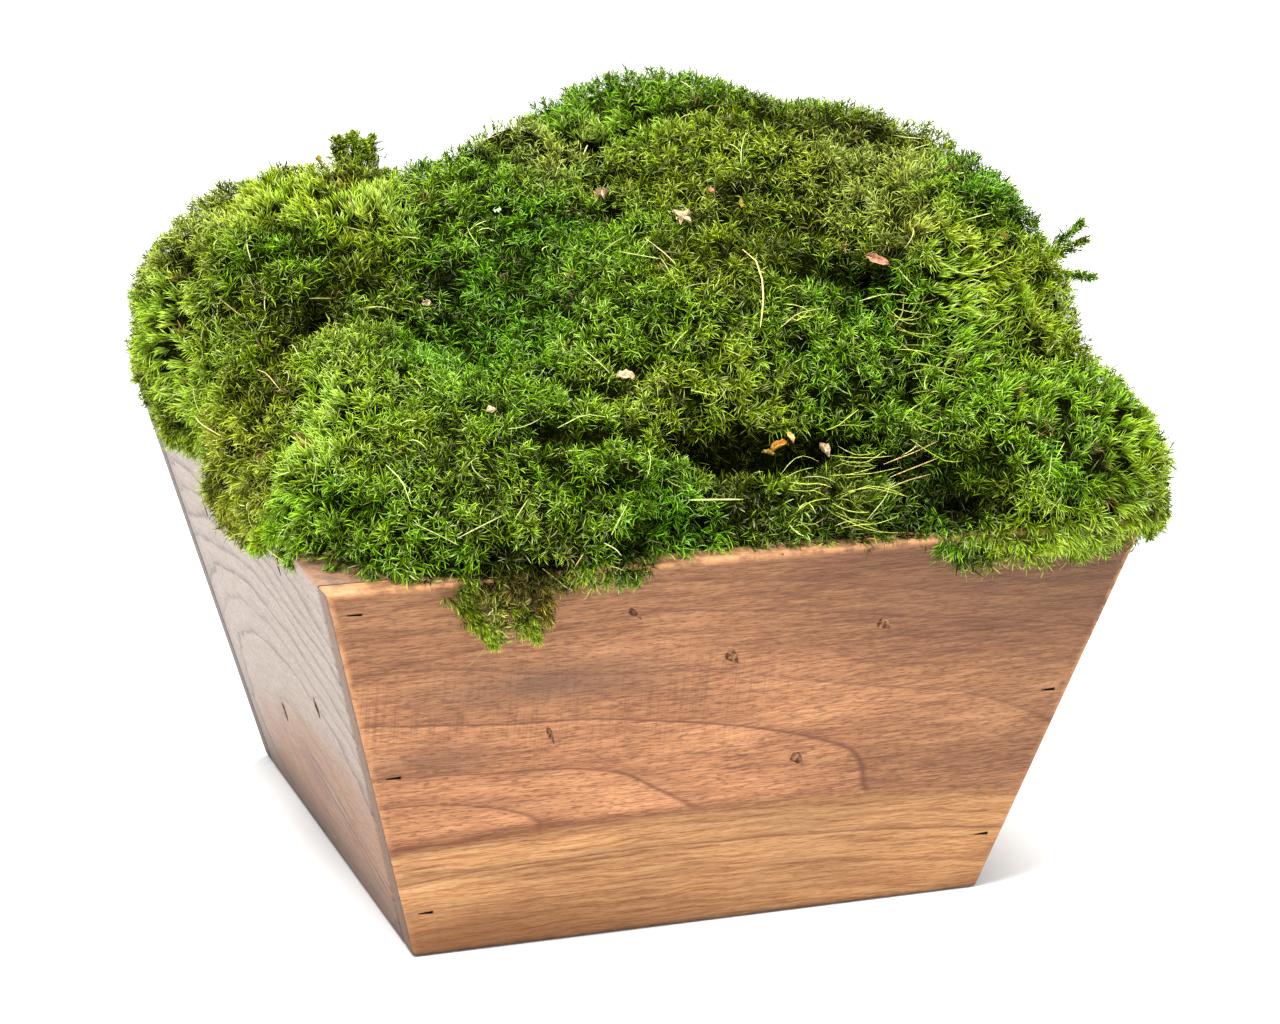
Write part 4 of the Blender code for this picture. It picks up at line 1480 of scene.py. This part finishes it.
WISPS = (
    Wisps((890, 292), (905, 372), (80, 2), 12),
    Wisps((960, 250), (980, 330), (56, -12), 6),
    Wisps((836, 430), (836, 530), (80, 2), 19),
    Wisps((780, 470), (800, 530), (50, -8), 8),
    Wisps((905, 385), (912, 432), (60, 6), 6),
    Wisps((780, 300), (790, 330), (34, 10), 4),
    Wisps((660, 330), (700, 410), (30, -10), 5),
)
THREAD_HEIGHT = 0.0005
THREAD_POINTS = 6
WISP_WIDTH = 0.00026


class Bit(NamedTuple):
    """A dry scrap on the moss: its pixel, a pixel that its long side points to, its size, curl and colour."""

    pixel: tuple
    towards: tuple
    length: float
    width: float
    curl: float
    colour: str


BITS = (
    Bit((876, 258), (890, 265), 0.0072, 0.0026, 0.3, "bark"),
    Bit((684, 215), (696, 206), 0.0080, 0.0022, 0.6, "beige"),
    Bit((682, 218), (694, 222), 0.0060, 0.0018, 0.6, "beige"),
    Bit((678, 212), (672, 226), 0.0060, 0.0018, 0.4, "straw"),
    Bit((610, 193), (618, 190), 0.0050, 0.0030, 0.8, "beige"),
    Bit((606, 196), (600, 204), 0.0036, 0.0016, 0.6, "beige"),
    Bit((711, 194), (716, 196), 0.0026, 0.0018, 0.4, "bark"),
    Bit((625, 375), (636, 374), 0.0050, 0.0026, 0.5, "beige"),
    Bit((490, 413), (497, 410), 0.0036, 0.0020, 0.4, "beige"),
    Bit((430, 300), (434, 304), 0.0026, 0.0018, 0.3, "beige"),
    Bit((497, 205), (502, 216), 0.0040, 0.0022, 0.3, "pale_leaf"),
    Bit((780, 440), (796, 436), 0.0056, 0.0024, 0.6, "orange"),
    Bit((770, 446), (779, 452), 0.0042, 0.0020, 0.4, "rust"),
    Bit((793, 434), (800, 442), 0.0034, 0.0018, 0.5, "straw"),
    Bit((825, 445), (832, 452), 0.0048, 0.0024, 0.9, "beige"),
    Bit((320, 168), (326, 172), 0.0036, 0.0020, 0.5, "rust"),
    Bit((1003, 236), (1010, 240), 0.0034, 0.0018, 0.5, "rust"),
    Bit((740, 205), (742, 214), 0.0030, 0.0014, 0.3, "rust"),
)
BIT_HEIGHT = 0.0006
BIT_THICKNESS = 0.00016


def over_leaves(pixels, height):
    """The points that pixels show, at a height over the moss there, and the ways outwards."""
    hits = [HEAP.ray_cast(CAMERA_PLACE, photo_ray(pixel)) for pixel in pixels]
    hits = [hit for hit in hits if hit[0] is not None]
    places = np.array([place for place, _, _, _ in hits]).reshape(-1, 3)
    outward = np.array([normal for _, normal, _, _ in hits]).reshape(-1, 3)
    sunk = np.clip(sinking(places, tufts_at(places)), None, 0.003)
    return places + outward * (height - sunk)[:, None], outward


def even_path(points, count):
    """A smooth path with a number of points, through a few."""
    at = np.linspace(0.0, len(points) - 1.0, count)
    return np.stack([np.interp(at, np.arange(len(points)), column) for column in points.T], 1)


def tube(path, width):
    """The corners and faces of a three-sided tube that ends in points."""
    ways = unit(np.gradient(path, axis=0))
    side = unit(np.cross(ways, (0.3, 0.2, 1.0)))
    other = np.cross(ways, side)
    half = width / 2 * np.interp(np.linspace(0.0, 1.0, len(path)), (0.0, 0.2, 0.8, 1.0), (0.4, 1.0, 0.9, 0.3))
    turns = [(math.cos(angle), math.sin(angle)) for angle in (0.0, 2.1, 4.2)]
    corners = np.stack([path + half[:, None] * (a * side + b * other) for a, b in turns], 1).reshape(-1, 3)
    faces = []
    for ring in range(0, 3 * len(path) - 3, 3):
        faces += [(ring + i, ring + (i + 1) % 3, ring + 3 + (i + 1) % 3, ring + 3 + i) for i in range(3)]
    last = 3 * len(path) - 3
    faces += [(2, 1, 0), (last, last + 1, last + 2)]
    return corners, faces


def scrap(bit, rng):
    """The corners and faces of a thin crumpled scrap."""
    places, outward = over_leaves((bit.pixel, bit.towards), BIT_HEIGHT)
    along = unit(places[1] - places[0])
    side = unit(np.cross(outward[0], along))
    up = np.cross(along, side)
    rows, columns = 7, 4
    s, t = np.meshgrid(np.linspace(-0.5, 0.5, rows), np.linspace(-0.5, 0.5, columns), indexing="ij")
    narrow = (1.04 - (2 * s) ** 2) ** 0.5 * rng.uniform(0.60, 1.15, (rows, 1))
    narrow = narrow * rng.uniform(0.8, 1.15, s.shape)
    height = bit.width * (bit.curl * (2 * t) ** 2 + rng.normal(0.0, 0.12, s.shape) - bit.curl * s ** 2)
    top = places[0] + (s * bit.length)[..., None] * along + (t * narrow * bit.width)[..., None] * side
    top = (top + height[..., None] * up).reshape(-1, 3)
    corners = np.concatenate([top, top - BIT_THICKNESS * up])
    below = rows * columns
    faces = []
    for row in range(rows - 1):
        for column in range(columns - 1):
            a = row * columns + column
            b, c, d = a + columns, a + columns + 1, a + 1
            faces += [(a, b, c, d), (below + d, below + c, below + b, below + a)]
    rim = list(range(columns)) + [row * columns + columns - 1 for row in range(1, rows)]
    rim += list(range(below - 2, below - columns - 1, -1)) + [row * columns for row in range(rows - 2, 0, -1)]
    for a, b in zip(rim, rim[1:] + rim[:1]):
        faces.append((a, b, below + b, below + a))
    return corners, faces


def dry_piece(name, shapes, material):
    """One piece of many small shapes, each with its corners, faces and colour."""
    corners = []
    faces = []
    tints = []
    for shape_corners, shape_faces, colour in shapes:
        faces += [[index + len(corners) for index in face] for face in shape_faces]
        corners += shape_corners.tolist()
        tints += [tuple(colour)] * len(shape_corners)
    mesh = bpy.data.meshes.new(name)
    mesh.from_pydata(corners, [], faces)
    add_tints(mesh, np.array(tints))
    mesh.materials.append(material)
    piece = add_object(name, mesh)
    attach(piece, "root")


def make_dry_pieces():
    rng = np.random.default_rng(SEED + 1)
    threads = list(THREADS)
    for wisps in WISPS:
        for share in np.linspace(0.0, 1.0, wisps.count):
            start = np.array(wisps.first) * (1 - share) + np.array(wisps.last) * share
            start = start + rng.normal(0.0, 4.0, 2)
            run = np.array(wisps.run) * rng.uniform(0.30, 1.0) + (0.0, rng.normal(0.0, 9.0))
            bow = np.array((0.0, rng.normal(0.0, 4.0)))
            pixels = (start, start + 0.35 * run + bow, start + 0.7 * run + bow, start + run)
            threads.append(Thread(pixels, WISP_WIDTH * rng.uniform(0.6, 1.3), "wisp"))
    shapes = []
    for thread in threads:
        points, _ = over_leaves(thread.pixels, THREAD_HEIGHT)
        if len(points) < 2:
            continue
        shade = rng.uniform(0.55, 1.15)
        colour = np.minimum(np.array(LEAF_COLOURS[thread.colour]) * shade, 0.95)
        shapes.append((*tube(even_path(points, THREAD_POINTS), thread.width), colour))
    material = dry_material()
    dry_piece("dry_threads", shapes, material)
    scraps = [(*scrap(bit, rng), LEAF_COLOURS[bit.colour]) for bit in BITS]
    dry_piece("dry_bits", scraps, material)


def make_moss():
    materials = (moss_material(), bed_material())
    rng = np.random.default_rng(SEED)
    triangles = {clump: make_clump(clump, materials, rng) for clump in CLUMPS}
    print("moss triangles", triangles, "together", sum(triangles.values()))


make_camera()
make_studio()
dress_planter()
make_moss()
make_dry_pieces()
